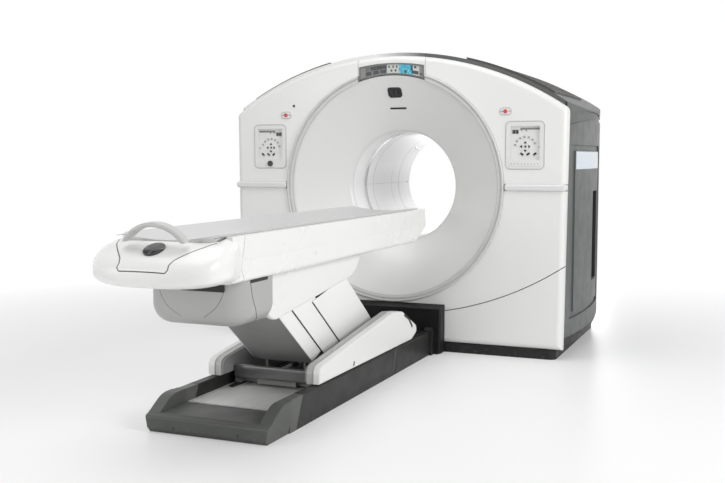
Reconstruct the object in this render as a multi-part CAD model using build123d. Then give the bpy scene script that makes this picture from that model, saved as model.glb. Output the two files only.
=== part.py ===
from build123d import *
import math
import os

# Whole body scanner: a deep gantry with a 700 mm bore, and the patient table in front of it.
# Millimetres, +X to the right seen from the front, +Y into the bore, +Z up.
# The origin is on the floor under the isocentre, in the plane of the flat front cover.

# Gantry
GANTRY_HALF = 1104.0
FOOT_TAPER = 16.0
GANTRY_TOP = 1840.0
GANTRY_REAR = 1380.0
ARCH_RADIUS = 1950.0
ARCH_CORNER = 44.0
ISO_HEIGHT = 1027.0
BORE_RADIUS = 352.0
COVER_WALL = 6.0
COVER_FOOT = 62.0
SEAM = 3.0
FIT = 0.5
SEAT = 0.3

# Front cover
FRONT_DEPTH = 62.0
FRONT_ROUND = 36.0
DISPLAY_HALF = 216.0
BRIDGE_HALF = DISPLAY_HALF + 6
DISPLAY_TOP = GANTRY_TOP - 45
DISPLAY_TOP_SAG = 20.0
DISPLAY_CLEAR = 12.0
LOWER_SEAM_RADIUS = 1950.0
LOWER_SEAM_Z = 228.0
LOWER_SEAM_GAP = 5.0
RAIL_BOTTOM = 1008.0
RAIL_TOP = 1053.0
RAIL_PROUD = 18.0
RAIL_ROUND = 13.0

# Dish, rim and bore
RIM_OUTER = 727.0
RIM_BAND = 42.0
RIM_BEAD = 16.0
RIM_INNER = RIM_OUTER - RIM_BAND
RIM_PROUD = 15.0
DISH_DEPTH = 228.0
DISH_WALL = 8.0
LIP_RADIUS = BORE_RADIUS + 26
LIP_Y = DISH_DEPTH - 24
DISH_SEAT = RIM_INNER + 8 - FIT
DISH_START = 4 + FIT
LINER_WALL = 6.0
LINER_SEAM_Y = 926.0
BORE_REAR = GANTRY_REAR - 80
WINDOW_FRONT = 418.0
WINDOW_WIDTH = 44.0
WINDOW_WALL = 2.5
REAR_MOUTH_RADIUS = BORE_RADIUS + 118

# Controls, beside the rim
PANEL_X = RIM_OUTER + 124
PANEL_Z = 1282.0
PANEL_WIDTH = 236.0
PANEL_HEIGHT = 287.0
PANEL_CORNER = 29.0
PANEL_THICK = 20.0
PANEL_RECESS = 14.0
FIELD_WIDTH = 178.0
FIELD_HEIGHT = 200.0
FIELD_RISE = 14.0
PAD_DROP = 8.0
KEY_RISE = 3.0
WINDOW_PLACE = 592.0
SPEAKER_PLACE = 494.0
SPEAKER_HALF = 55.0
STOP_X = RIM_OUTER + 5
STOP_Z = 1484.0
STOP_RADIUS = 12.0
STOP_STEM_RADIUS = 6.0
STOP_TRAVEL = 5.0
STOP_COLLAR_HALF = 38.0
STOP_COLLAR_HEIGHT = 46.0
PLATE_PROUD = 3.0

# Rear body of the gantry
BODY_FRONT_HALF = GANTRY_HALF - 16
BODY_MID_HALF = GANTRY_HALF + 26
BODY_REAR_HALF = GANTRY_HALF - 44
BODY_CORNER = 140.0
SIDE_BOTTOM = 128.0
SIDE_INNER_X = GANTRY_HALF - 304
SIDE_TOP_ARC = (1395.0, 1450.0, 1430.0)
LIP_ARC = (1425.0, 1458.0, 1437.0)
CAP_ARC = (1468.0, 1500.0, 1462.0)
ARC_LOW = 1340.0
ARC_HIGH = 1520.0
LIP_INSET = 7.0
STEP_INSET = 16.0
ROOF_RISE = 24.0
ROOF_END_ROUND = 40.0
VENT_RISE = 36.0
VENT_FROM = GANTRY_HALF - 644
VENT_TO = GANTRY_HALF - 100
VENT_FRONT = 90.0
VENT_REAR = GANTRY_REAR - 430
VENT_SLOTS = 15
DOOR_FRONT = 150.0
DOOR_REAR = GANTRY_REAR - 300
DOOR_BOTTOM = 232.0
DOOR_TOP = 1285.0
DOOR_GRIP = 90.0
DOOR_SIDE_GAP = 24.0
DOOR_END_GAP = 34.0
DOOR_SEAT = 12.0
DOOR_FRAME = 20.0
DOOR_FLANGE = 3.0
SLOT_WIDTH = 240.0
SLOT_REAR = DOOR_REAR - 80
SLOT_FRONT = SLOT_REAR - SLOT_WIDTH
SLOT_BOTTOM = 402.0
SLOT_TOP = 990.0
SLOT_DEPTH = 60.0
SLOT_WALL = 5.0
PLINTH_HALF = GANTRY_HALF - 57
PLINTH_FRONT = 20.0
PLINTH_REAR = GANTRY_REAR - 80
PLINTH_HEIGHT = COVER_FOOT - 2

# Scanning ring and detectors
ROTOR_BORE = BORE_RADIUS + LINER_WALL + 18
TUBE_PLACE = ROTOR_BORE + 164
DETECTOR_INNER = ROTOR_BORE + 184
DETECTOR_OUTER = DETECTOR_INNER + 80
ROTOR_RADIUS = DETECTOR_OUTER + 50
ROTOR_REAR = 350.0
ROTOR_DISC = 30.0
BEARING_RADIUS = ROTOR_BORE + 94
BEARING_GAP = 0.08
FRAME_FRONT = ROTOR_REAR + 70
FRAME_THICK = 60.0
FRAME_FOOT_HALF = 760.0
FRAME_WAIST_HALF = 640.0
FRAME_HEAD_HALF = 420.0
FRAME_HEAD_RISE = 560.0
PET_REAR = BORE_REAR - 110
PET_FRONT = PET_REAR - 240
PET_INNER = BORE_RADIUS + 48
PET_OUTER = PET_INNER + 120
PET_PLATE = 40.0
PET_BLOCKS = 24
PULLEY_RADIUS = 60.0
PULLEY_ANGLE = 228.0
PULLEY_SHAFT = 18.0
MOTOR_SPIGOT = 40.0
MOTOR_RADIUS = 78.0
MOTOR_LENGTH = 220.0

# Floor base of the table
BASE_HALF = 300.0
BASE_FRONT = -2222.0
BASE_CAP_REAR = BASE_FRONT + 247
CAP_SEAM_LEAN = 35.0
CAP_DRAFT = 14.0
BASE_HEIGHT = 146.0
BASE_NOSE = 78.0
BASE_ROUND = 9.0
TRAY_HALF = BASE_HALF - 50
TRAY_FLOOR = 80.0
PLATE_THICK = 5.0
GUIDE_X = TRAY_HALF - 45
GUIDE_WIDTH = 24.0
GUIDE_HEIGHT = 8.0
SKIRT_SEAM_Y = -740.0
BRIDGE_BOX_HALF = BASE_HALF + 60
BRIDGE_BOX_TOP = 300.0
BRIDGE_BOX_FRONT = -90.0
RAIL_END_Y = -190.0
BASE_REAR = BRIDGE_BOX_FRONT

# Lifting column, as a parallelogram
LIFT_ANGLE = 37.7
ARM_LENGTH = 736.0
FRONT_PIVOT_Y = -1440.0
PIVOT_Z = 215.0
REAR_SPACING = 589.0
MIDDLE_SPACING = 278.0
ARM_HALF = 28.0
ARM_X = 124.0
ARM_THICK = 12.0
LUG_X = ARM_X - 18
LUG_THICK = 12.0
SHAFT_RADIUS = 16.0
STUB_RADIUS = 12.0
RUNNING_FIT = 0.06
OPEN_PIVOT_FIT = 1.5
PANEL_SHEET = 4.0
FRONT_SHEET_X = 163.0
MIDDLE_SHEET_X = FRONT_SHEET_X + 5
REAR_SHEET_X = MIDDLE_SHEET_X + 5
BOSS_RADIUS = 9.0
TUBE_RADIUS = 16.0

# Pedestal on the base
SIDE_PLATE_X = GUIDE_X + 21
SIDE_PLATE_THICK = 12.0
SHOE_INNER = SIDE_PLATE_X + SIDE_PLATE_THICK / 2
SHOE_OUTER = BASE_HALF + 5
SHOE_CLEAR = BASE_HEIGHT + 6
SHOE_TOE = FRONT_PIVOT_Y - 260
SHOE_PEAK = FRONT_PIVOT_Y + 760
SHOE_HEEL = FRONT_PIVOT_Y + 1095
SHOE_SEAM_X = SHOE_INNER + 28
BAR_HALF = SIDE_PLATE_X - SIDE_PLATE_THICK / 2
BAR_Y = FRONT_PIVOT_Y - 126
BAR_TOP = 178.0
CROSS_BAR_PLACES = (FRONT_PIVOT_Y - 60, FRONT_PIVOT_Y + 820)

# Places worked out from the sizes above
ARCH_CENTRE_Z = GANTRY_TOP - ARCH_RADIUS
LOWER_SEAM_CENTRE_Z = LOWER_SEAM_Z + LOWER_SEAM_RADIUS
BORE_AXIS = Axis((0, 0, ISO_HEIGHT), (0, 1, 0))
TILT = math.radians(LIFT_ANGLE)
REAR_PIVOT_Y = FRONT_PIVOT_Y + REAR_SPACING
MIDDLE_PIVOT_Y = FRONT_PIVOT_Y + MIDDLE_SPACING
UPPER_SHIFT_Y = -ARM_LENGTH * math.cos(TILT)
UPPER_PIVOT_Z = PIVOT_Z + ARM_LENGTH * math.sin(TILT)
UPPER_FRONT_Y = FRONT_PIVOT_Y + UPPER_SHIFT_Y
UPPER_REAR_Y = REAR_PIVOT_Y + UPPER_SHIFT_Y

# Table top, over the upper pivots
BEAM_HALF = 262.0
BEAM_BOTTOM = UPPER_PIVOT_Z + 40
BED_Z = BEAM_BOTTOM + 155
BEAM_TOP = BEAM_BOTTOM + 191
BEAM_FOOT = -2420.0
BEAM_HEAD = -52.0
BEAM_WALL = 10.0
BEAM_ROUND = 22.0
HEAD_ROUND = 40.0
CRADLE_HALF = BEAM_HALF - 34
CRADLE_TOP = BEAM_TOP + 10
CRADLE_FOOT = BEAM_FOOT - 80
CRADLE_HEAD = BEAM_HEAD - 26
SHOULDER_INNER = REAR_SHEET_X + PANEL_SHEET / 2 + 3
SHOULDER_OUTER = SHOULDER_INNER + 22
SHOULDER_HEIGHT = 217.0
SHOULDER_ROUND = 10.0
BELLY_HALF = BEAM_HALF - 26
CAVITY_HALF = BELLY_HALF - 5
BELLY_DEPTH = 203.0
BELLY_FRONT = BEAM_FOOT + 102
BELLY_REAR = UPPER_FRONT_Y + 90
BELLY_CORNER = 105.0
BELLY_ROUND = 88.0
END_LENGTH = 315.0
END_HALF = BEAM_HALF + 32
HANDLE_HALF = 150.0
HANDLE_Y = BEAM_FOOT - 140
HANDLE_TOP = BEAM_TOP + 54
HANDLE_RISE = 92.0
HANDLE_WIDTH = 46.0
HANDLE_THICK = 20.0


# Shared shapes

def block(x0, x1, y0, y1, z0, z1):
    """A box between two opposite corners."""
    middle = Pos((x0 + x1) / 2, (y0 + y1) / 2, (z0 + z1) / 2)
    return middle * Box(abs(x1 - x0), abs(y1 - y0), abs(z1 - z0))


def front_view(profile, y0, y1):
    """Extrude an (x, z) profile along the bore, from y0 to y1."""
    return Pos(0, y0, 0) * extrude(Plane.XZ * profile, -(y1 - y0))


def side_view(profile, x0, x1):
    """Extrude a (y, z) profile across the table, from x0 to x1."""
    return Pos(x0, 0, 0) * extrude(Plane.YZ * profile, x1 - x0)


def plan_view(profile, z0, z1):
    """Extrude an (x, y) profile upwards, from z0 to z1."""
    return Pos(0, 0, z0) * extrude(profile, z1 - z0)


def spun(*points):
    """Revolve a closed (radius, y) outline about the bore axis."""
    outline = make_face(Polyline(*points, close=True))
    return revolve(Pos(0, 0, ISO_HEIGHT) * outline, BORE_AXIS)


def tube_along_bore(inner, outer, y0, y1):
    """A plain ring about the bore axis."""
    return spun((inner, y0), (outer, y0), (outer, y1), (inner, y1))


def rod_across(radius, x0, x1, y, z):
    """A round bar across the table."""
    return Pos(x0, y, z) * Rot(0, 90, 0) * Cylinder(
        radius, x1 - x0, align=(Align.CENTER, Align.CENTER, Align.MIN))


def mirrored(solid):
    """The same piece on the left side."""
    return mirror(solid, Plane.YZ)


def arch_z(x, rise=0.0):
    """Height of the arched top at a distance x from the middle."""
    return ARCH_CENTRE_Z + math.sqrt((ARCH_RADIUS + rise) ** 2 - x ** 2)


# Gantry covers

def arch_outline(inset):
    """Front view of the gantry: flat foot, straight sides and arched top."""
    half = GANTRY_HALF - inset
    foot = half - FOOT_TAPER
    corner = arch_z(half, -inset)
    bottom = COVER_FOOT + inset
    sides = Polyline((-half, corner), (-foot, bottom), (foot, bottom), (half, corner))
    top = ThreePointArc((half, corner), (0, GANTRY_TOP - inset), (-half, corner))
    face = make_face([sides, top])
    corners = face.vertices().sort_by(Axis.Y)[2:]
    return fillet(corners, ARCH_CORNER - inset)


def front_shell():
    """The whole white front cover as a shallow pan, before its seams are cut."""
    solid = front_view(arch_outline(0), 0, FRONT_DEPTH)
    front_edges = solid.edges().group_by(Axis.Y)[0]
    solid = fillet(front_edges, FRONT_ROUND)
    hollow = front_view(arch_outline(COVER_WALL), COVER_WALL, FRONT_DEPTH)
    hollow = fillet(hollow.edges().group_by(Axis.Y)[0], FRONT_ROUND - COVER_WALL)
    mouth = front_view(Pos(0, ISO_HEIGHT) * Circle(RIM_OUTER + FIT), -1, FRONT_DEPTH)
    return solid - hollow - mouth


def lower_seam_disc(grow):
    """Everything above the long arc seam near the foot of the front cover."""
    disc = Pos(0, LOWER_SEAM_CENTRE_Z) * Circle(LOWER_SEAM_RADIUS + grow)
    return front_view(disc, -1, FRONT_DEPTH + 1)


def stop_place(side):
    """Middle of an emergency stop, on the front face."""
    return Pos(side * STOP_X, 0, STOP_Z)


def stop_collar():
    """Raised oval collar moulded round the emergency stop, with its stem hole."""
    oval = SlotOverall(2 * STOP_COLLAR_HALF, STOP_COLLAR_HEIGHT)
    return front_view(oval, -PLATE_PROUD, COVER_WALL)


def stop_hole():
    """Clearance hole for the mushroom's stem."""
    return front_view(Circle(STOP_STEM_RADIUS + FIT), -PLATE_PROUD - 1, COVER_WALL + 1)


def display_outline(inset):
    """Front view of the display: between the dish's edge and a flatter arc above it."""
    half = DISPLAY_HALF - inset
    top = DISPLAY_TOP - inset
    side_top = top - DISPLAY_TOP_SAG
    low_radius = RIM_INNER + DISPLAY_CLEAR + inset
    side_low = ISO_HEIGHT + math.sqrt(low_radius ** 2 - half ** 2)
    upper = ThreePointArc((-half, side_top), (0, top), (half, side_top))
    lower = ThreePointArc((half, side_low), (0, ISO_HEIGHT + low_radius), (-half, side_low))
    return make_face([upper, Line((half, side_top), (half, side_low)), lower,
                      Line((-half, side_low), (-half, side_top))])


def front_covers():
    """Bridge, two upper, two side and one lower cover, cut from one pan."""
    shell = front_shell()
    far = GANTRY_HALF + 10
    high = GANTRY_TOP + 10
    gap = SEAM / 2
    bridge = shell & block(-BRIDGE_HALF, BRIDGE_HALF, -1, FRONT_DEPTH + 1, ISO_HEIGHT, high)
    upper = shell & block(BRIDGE_HALF + SEAM, far, -1, FRONT_DEPTH + 1, RAIL_TOP - gap, high)
    side_zone = block(gap, far, -1, FRONT_DEPTH + 1, 0, RAIL_BOTTOM + gap)
    side = shell & side_zone & lower_seam_disc(-LOWER_SEAM_GAP / 2)
    lower = shell - lower_seam_disc(LOWER_SEAM_GAP / 2) & block(-far, far, -1, FRONT_DEPTH + 1, 0, ISO_HEIGHT)
    panel_gap = front_view(
        Pos(PANEL_X, PANEL_Z) * RectangleRounded(PANEL_WIDTH + 2 * FIT, PANEL_HEIGHT + 2 * FIT, PANEL_CORNER + FIT),
        -1, COVER_WALL + 1)
    upper = upper - panel_gap + stop_place(1) * stop_collar() - stop_place(1) * stop_hole()
    bridge -= front_view(display_outline(-FIT), -1, FRONT_DEPTH)
    return {
        "front_cover_bridge": bridge,
        "front_cover_upper_right": upper,
        "front_cover_upper_left": mirrored(upper),
        "front_cover_side_right": side,
        "front_cover_side_left": mirrored(side),
        "front_cover_lower": lower,
    }


def dish_rim():
    """Ring round the dish: a crowned band with a round bead on its outer edge, open under the bridge."""
    bead_start = RIM_OUTER - RIM_BEAD
    seat = DISH_SEAT + FIT
    face = make_face([
        Line((RIM_INNER, 4), (RIM_INNER, -3)),
        ThreePointArc((RIM_INNER, -3), ((RIM_INNER + bead_start) / 2, -7), (bead_start, -5)),
        ThreePointArc((bead_start, -5), (RIM_OUTER - RIM_BEAD / 2, -RIM_PROUD), (RIM_OUTER, -4)),
        Polyline((RIM_OUTER, -4), (RIM_OUTER, 14), (seat, 14), (seat, 4), (RIM_INNER, 4))])
    rim = revolve(Pos(0, 0, ISO_HEIGHT) * face, BORE_AXIS)
    return rim - block(-BRIDGE_HALF, BRIDGE_HALF, -RIM_PROUD - 1, FRONT_DEPTH, ISO_HEIGHT, GANTRY_TOP)


def dish_parts():
    """Rim, conical dish and the two halves of the bore liner."""
    cone_slope = (DISH_SEAT - LIP_RADIUS) / (LIP_Y - 4)
    back = DISH_WALL * math.hypot(1, cone_slope)
    lip_end = DISH_DEPTH + 6
    face = make_face([
        Line((DISH_SEAT, DISH_START), (LIP_RADIUS, LIP_Y)),
        ThreePointArc((LIP_RADIUS, LIP_Y), (BORE_RADIUS + 9, DISH_DEPTH - 12), (BORE_RADIUS, lip_end)),
        Polyline((BORE_RADIUS, lip_end), (BORE_RADIUS + DISH_WALL, lip_end), (LIP_RADIUS + 6, LIP_Y + 8),
                 (DISH_SEAT, DISH_START + back), (DISH_SEAT, DISH_START))])
    dish = revolve(Pos(0, 0, ISO_HEIGHT) * face, BORE_AXIS)
    dish -= block(-SPEAKER_HALF, SPEAKER_HALF, 0, DISH_DEPTH,
                  ISO_HEIGHT + SPEAKER_PLACE - 6, ISO_HEIGHT + SPEAKER_PLACE + 6)
    liner_start = lip_end + FIT
    window_end = WINDOW_FRONT + WINDOW_WIDTH
    outer = BORE_RADIUS + LINER_WALL
    groove = BORE_RADIUS + WINDOW_WALL + FIT
    front = spun(
        (BORE_RADIUS, liner_start), (BORE_RADIUS, WINDOW_FRONT - FIT), (groove, WINDOW_FRONT - FIT),
        (groove, window_end + FIT), (BORE_RADIUS, window_end + FIT),
        (BORE_RADIUS, LINER_SEAM_Y - SEAM), (outer, LINER_SEAM_Y - SEAM), (outer, liner_start))
    window = tube_along_bore(BORE_RADIUS, BORE_RADIUS + WINDOW_WALL, WINDOW_FRONT, window_end)
    rear = tube_along_bore(BORE_RADIUS, outer, LINER_SEAM_Y, BORE_REAR - FIT)
    return {
        "dish_rim": dish_rim(),
        "dish_cover": dish,
        "bore_liner_front": front,
        "scan_window": window,
        "bore_liner_rear": rear,
    }


def grab_rail():
    """Rounded bar from the dish rim to the side edge, with a shallow finger dip."""
    start = math.sqrt(RIM_OUTER ** 2 - (ISO_HEIGHT - RAIL_BOTTOM) ** 2) + 4
    height = RAIL_TOP - RAIL_BOTTOM - SEAM - 2 * FIT
    end = GANTRY_HALF - 4
    profile = Pos((start + end) / 2, (RAIL_TOP + RAIL_BOTTOM) / 2) * RectangleRounded(
        end - start, height, RAIL_ROUND)
    bar = front_view(profile, -RAIL_PROUD, FRONT_DEPTH - 8)
    return fillet(bar.edges().group_by(Axis.Y)[0], RAIL_ROUND - 1)


def control_panel(side):
    """Rounded operator panel with a sunk key field, keys and an indicator."""
    plate = front_view(Pos(PANEL_X, PANEL_Z) * RectangleRounded(PANEL_WIDTH, PANEL_HEIGHT, PANEL_CORNER),
                       -PLATE_PROUD, PANEL_THICK)
    floor = PANEL_RECESS - PLATE_PROUD
    field = front_view(Pos(PANEL_X, PANEL_Z + FIELD_RISE) * RectangleRounded(FIELD_WIDTH, FIELD_HEIGHT, 5),
                       -PLATE_PROUD - 1, floor)
    pad_z = PANEL_Z - PAD_DROP
    keys = [Pos(PANEL_X, pad_z) * (Circle(32) - Circle(12))]
    for step in range(7):
        angle = math.radians(20 + step * 25)
        keys.append(Pos(PANEL_X + 62 * math.cos(angle), pad_z + 58 * math.sin(angle)) * Circle(8))
    for offset, turn in ((-20, 35), (18, -35), (58, -38)):
        keys.append(Pos(PANEL_X + offset, pad_z - 44) * SlotOverall(28, 15, rotation=-turn))
    keys.append(Pos(PANEL_X - 60, pad_z + 88) * RectangleRounded(42, 24, 2))
    panel = plate - field
    for key in keys:
        panel += front_view(key, floor - KEY_RISE, floor + 1)
    return panel if side > 0 else mirrored(panel)


def stop_button(side):
    """Mushroom head with the stem that runs through the collar."""
    head_y = -PLATE_PROUD - STOP_TRAVEL - 2
    stem_end = COVER_WALL + 16
    head = spun_at(((0, head_y - 6), (STOP_RADIUS - 4, head_y - 5), (STOP_RADIUS, head_y - 2),
                    (STOP_RADIUS, head_y + 1), (STOP_STEM_RADIUS, head_y + 1),
                    (STOP_STEM_RADIUS, stem_end), (0, stem_end)))
    return stop_place(side) * head


def spun_at(points):
    """Revolve a closed (radius, y) outline about an axis along y through the origin."""
    return revolve(make_face(Polyline(*points, close=True)), Axis((0, 0, 0), (0, 1, 0)))


def display_panel():
    """Curved status display in the bridge, a window behind a thin bezel."""
    plate = front_view(display_outline(0), -2, PANEL_THICK)
    window = front_view(display_outline(9), -3, 1)
    return plate - window


def dish_point(radius):
    """Depth of the dish's face at a radius from the bore axis."""
    return DISH_START + (DISH_SEAT - radius) * (LIP_Y - DISH_START) / (DISH_SEAT - LIP_RADIUS)


def alignment_window(dish):
    """Bezel of the positioning light, seated on the dish above the bore."""
    slope = math.degrees(math.atan2(LIP_Y - DISH_START, DISH_SEAT - LIP_RADIUS))
    middle = Pos(0, dish_point(WINDOW_PLACE), ISO_HEIGHT + WINDOW_PLACE) * Rot(90 + slope, 0, 0)
    bezel = middle * Pos(0, 0, -4) * extrude(RectangleRounded(92, 72, 20), 10)
    glass = middle * Pos(0, 0, 4) * extrude(RectangleRounded(72, 52, 14), 4)
    return bezel - glass - dish


def body_plan(inset):
    """Plan of the gantry behind its front cover: bulging sides and round rear corners."""
    y0 = FRONT_DEPTH + SEAM
    y1 = GANTRY_REAR - inset
    front = BODY_FRONT_HALF - inset
    middle = BODY_MID_HALF - inset
    rear = BODY_REAR_HALF - inset
    half_way = (y0 + y1) / 2
    right = ThreePointArc((front, y0), (middle, half_way), (rear, y1))
    left = ThreePointArc((-rear, y1), (-middle, half_way), (-front, y0))
    back = Line((rear, y1), (-rear, y1))
    near = Line((-front, y0), (front, y0))
    face = make_face([right, back, left, near])
    return fillet(face.vertices().group_by(Axis.Y)[-1], BODY_CORNER - inset)


def door_zone(front, rear, ends):
    """The door opening as a block through the right side, grown at its front, rear and ends."""
    return block(SIDE_INNER_X + 10, BODY_MID_HALF + 10, DOOR_FRONT - front, DOOR_REAR + rear,
                 DOOR_BOTTOM - ends, DOOR_TOP + ends)


def curved_sheet(outer, inner, z0, z1):
    """A wall that follows the body's plan, between two depths below its skin."""
    return plan_view(body_plan(outer) - body_plan(inner), z0, z1)


def under_arc(heights, lift=0.0):
    """Everything below a slow arc in side view, given its height at the front, middle and rear."""
    y0 = FRONT_DEPTH
    y1 = GANTRY_REAR + 10
    front, middle, rear = (z + lift for z in heights)
    face = make_face([
        ThreePointArc((y0, front), ((y0 + y1) / 2, middle), (y1, rear)),
        Polyline((y1, rear), (y1, 0), (y0, 0), (y0, front))])
    return side_view(face, -BODY_MID_HALF - 50, BODY_MID_HALF + 50)


def side_cover():
    """Right grey cover: a bulged wall with a sunk door opening, wrapped round the rear corner."""
    wall = curved_sheet(0, COVER_WALL, SIDE_BOTTOM, ARC_HIGH) & under_arc(SIDE_TOP_ARC)
    wall &= block(SIDE_INNER_X, BODY_MID_HALF + 10, 0, GANTRY_REAR + 10, 0, GANTRY_TOP)
    deep = DOOR_SEAT + COVER_WALL
    opening = door_zone(0, 0, 0)
    frame = curved_sheet(0, deep, SIDE_BOTTOM, DOOR_TOP + 50) & door_zone(DOOR_FRAME, DOOR_FRAME, DOOR_FRAME)
    ledge = curved_sheet(DOOR_SEAT, deep, SIDE_BOTTOM, DOOR_TOP + 50) & door_zone(1, 1, 1)
    window = door_zone(-DOOR_GRIP - 20, -DOOR_SIDE_GAP - 20, -DOOR_END_GAP - 20)
    return wall - opening + (frame - opening) + (ledge - window)


def side_door():
    """Right service door, nearly flush in a wide channel of the side cover, with a tall air slot."""
    back = DOOR_SEAT - SEAT
    panel = curved_sheet(DOOR_FLANGE, back, DOOR_BOTTOM, DOOR_TOP)
    panel &= door_zone(-DOOR_GRIP, -DOOR_SIDE_GAP, -DOOR_END_GAP)
    inside = block(SIDE_INNER_X, BODY_MID_HALF, SLOT_FRONT, SLOT_REAR, SLOT_BOTTOM, SLOT_TOP)
    outside = block(SIDE_INNER_X, BODY_MID_HALF, SLOT_FRONT - SLOT_WALL, SLOT_REAR + SLOT_WALL,
                    SLOT_BOTTOM - SLOT_WALL, SLOT_TOP + SLOT_WALL)
    walls = curved_sheet(DOOR_FLANGE, SLOT_DEPTH, 0, GANTRY_TOP) & (outside - inside)
    floor = curved_sheet(SLOT_DEPTH - SLOT_WALL, SLOT_DEPTH, 0, GANTRY_TOP) & outside
    return panel - inside + walls + floor


def arched_body(rise, inset):
    """The rear body's full outer form, up to its arched roof."""
    half = BODY_MID_HALF + 40
    corner = arch_z(half, rise)
    sides = Polyline((-half, corner), (-half, 0), (half, 0), (half, corner))
    top = ThreePointArc((half, corner), (0, GANTRY_TOP + rise), (-half, corner))
    front = front_view(make_face([sides, top]), FRONT_DEPTH + SEAM, GANTRY_REAR - inset)
    return front & plan_view(body_plan(inset), 0, GANTRY_TOP + rise + 10)


def rear_mouth(grow):
    """Space of the bore's rear mouth, through the rear covers."""
    return front_view(Pos(0, ISO_HEIGHT) * Circle(REAR_MOUTH_RADIUS + grow), BORE_REAR - 10, GANTRY_REAR + 1)


def top_cover():
    """Roof over the rear body, with a lip and a step that follow slow arcs above each side cover."""
    roof = arched_body(ROOF_RISE, 0) - arched_body(ROOF_RISE - COVER_WALL, COVER_WALL)
    roof -= under_arc(CAP_ARC)
    foot = curved_sheet(0, STEP_INSET, ARC_LOW, ARC_HIGH) & under_arc(CAP_ARC, COVER_WALL)
    foot -= under_arc(CAP_ARC)
    lip = curved_sheet(LIP_INSET, STEP_INSET, ARC_LOW, ARC_HIGH) & under_arc(CAP_ARC, 1)
    lip -= under_arc(LIP_ARC)
    step = curved_sheet(COVER_WALL + SEAT, STEP_INSET, ARC_LOW, ARC_HIGH) & under_arc(LIP_ARC, 1)
    return roof + foot + lip + step - rear_mouth(COVER_WALL + FIT)


def top_vent():
    """Raised ribbed vent on the right of the roof."""
    band = arched_body(VENT_RISE, 3) - arched_body(ROOF_RISE + SEAT, 3)
    band = band & block(VENT_FROM, VENT_TO, VENT_FRONT, VENT_REAR, SIDE_BOTTOM, GANTRY_TOP + 100)
    pitch = (VENT_TO - VENT_FROM - 40) / VENT_SLOTS
    length = VENT_REAR - VENT_FRONT - 60
    for index in range(VENT_SLOTS):
        x = VENT_FROM + 20 + pitch * (index + 0.5)
        turn = math.degrees(math.asin(x / ARCH_RADIUS))
        place = Pos(x, (VENT_FRONT + VENT_REAR) / 2, arch_z(x, VENT_RISE)) * Rot(0, turn, 0)
        band -= place * Box(pitch * 0.45, length, VENT_RISE - ROOF_RISE)
    return band


def rear_cover():
    """Flat rear cover with two lift-off panels and the flared rear mouth of the bore."""
    wall = curved_sheet(0, COVER_WALL, SIDE_BOTTOM, ARC_HIGH) & under_arc(SIDE_TOP_ARC)
    wall &= block(-SIDE_INNER_X + SEAM, SIDE_INNER_X - SEAM, GANTRY_REAR - 80, GANTRY_REAR + 10, 0, GANTRY_TOP)
    flare = spun(
        (BORE_RADIUS, BORE_REAR), (REAR_MOUTH_RADIUS, GANTRY_REAR),
        (REAR_MOUTH_RADIUS + COVER_WALL, GANTRY_REAR), (REAR_MOUTH_RADIUS + COVER_WALL, GANTRY_REAR - COVER_WALL),
        (BORE_RADIUS + COVER_WALL, BORE_REAR))
    cover = wall - rear_mouth(0) + flare
    seam_depth = COVER_WALL / 2
    for x0, x1 in ((-SIDE_INNER_X + 90, -REAR_MOUTH_RADIUS - 60), (REAR_MOUTH_RADIUS + 60, SIDE_INNER_X - 90)):
        outer = block(x0, x1, GANTRY_REAR - seam_depth, GANTRY_REAR + 1, SIDE_BOTTOM + 90, ISO_HEIGHT + 300)
        inner = block(x0 + SEAM, x1 - SEAM, 0, GANTRY_REAR + 2, SIDE_BOTTOM + 90 + SEAM, ISO_HEIGHT + 300 - SEAM)
        cover -= outer - inner
    return cover


def plinth():
    """Steel base of the gantry, with a lip under the side covers."""
    middle = Pos(0, (PLINTH_FRONT + PLINTH_REAR) / 2)
    base = middle * RectangleRounded(2 * PLINTH_HALF, PLINTH_REAR - PLINTH_FRONT, 40)
    neck = plan_view(body_plan(24), PLINTH_HEIGHT, SIDE_BOTTOM - 20)
    ledge = plan_view(body_plan(6), SIDE_BOTTOM - 22, SIDE_BOTTOM - SEAT)
    return plan_view(base, 0, PLINTH_HEIGHT) + neck + ledge


# Inner works of the gantry

def gantry_frame():
    """Welded stand: two upright ring plates on cross members, with the bearing housing."""
    deck = SIDE_BOTTOM - SEAT
    head = ISO_HEIGHT + FRAME_HEAD_RISE
    plate = Polyline((-FRAME_FOOT_HALF, deck), (FRAME_FOOT_HALF, deck), (FRAME_WAIST_HALF, ISO_HEIGHT),
                     (FRAME_HEAD_HALF, head), (-FRAME_HEAD_HALF, head), (-FRAME_WAIST_HALF, ISO_HEIGHT),
                     close=True)
    front = front_view(make_face(plate), FRAME_FRONT, FRAME_FRONT + FRAME_THICK)
    hole = BEARING_RADIUS + BEARING_GAP
    front -= front_view(Pos(0, ISO_HEIGHT) * Circle(hole), FRAME_FRONT - 1, FRAME_FRONT + FRAME_THICK + 1)
    x, z = pulley_centre()
    front -= front_view(Pos(x, z) * Circle(MOTOR_SPIGOT + FIT), FRAME_FRONT - 1, FRAME_FRONT + FRAME_THICK + 1)
    back = PET_REAR + PET_PLATE
    ring = front_view(make_face(plate), PET_REAR, back)
    ring -= front_view(Pos(0, ISO_HEIGHT) * Circle(PET_INNER), PET_REAR - 1, back + 1)
    beams = block(-FRAME_FOOT_HALF + 20, -FRAME_WAIST_HALF, FRAME_FRONT, back, deck, deck + 90)
    beams += mirrored(beams)
    return front + ring + beams


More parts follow.
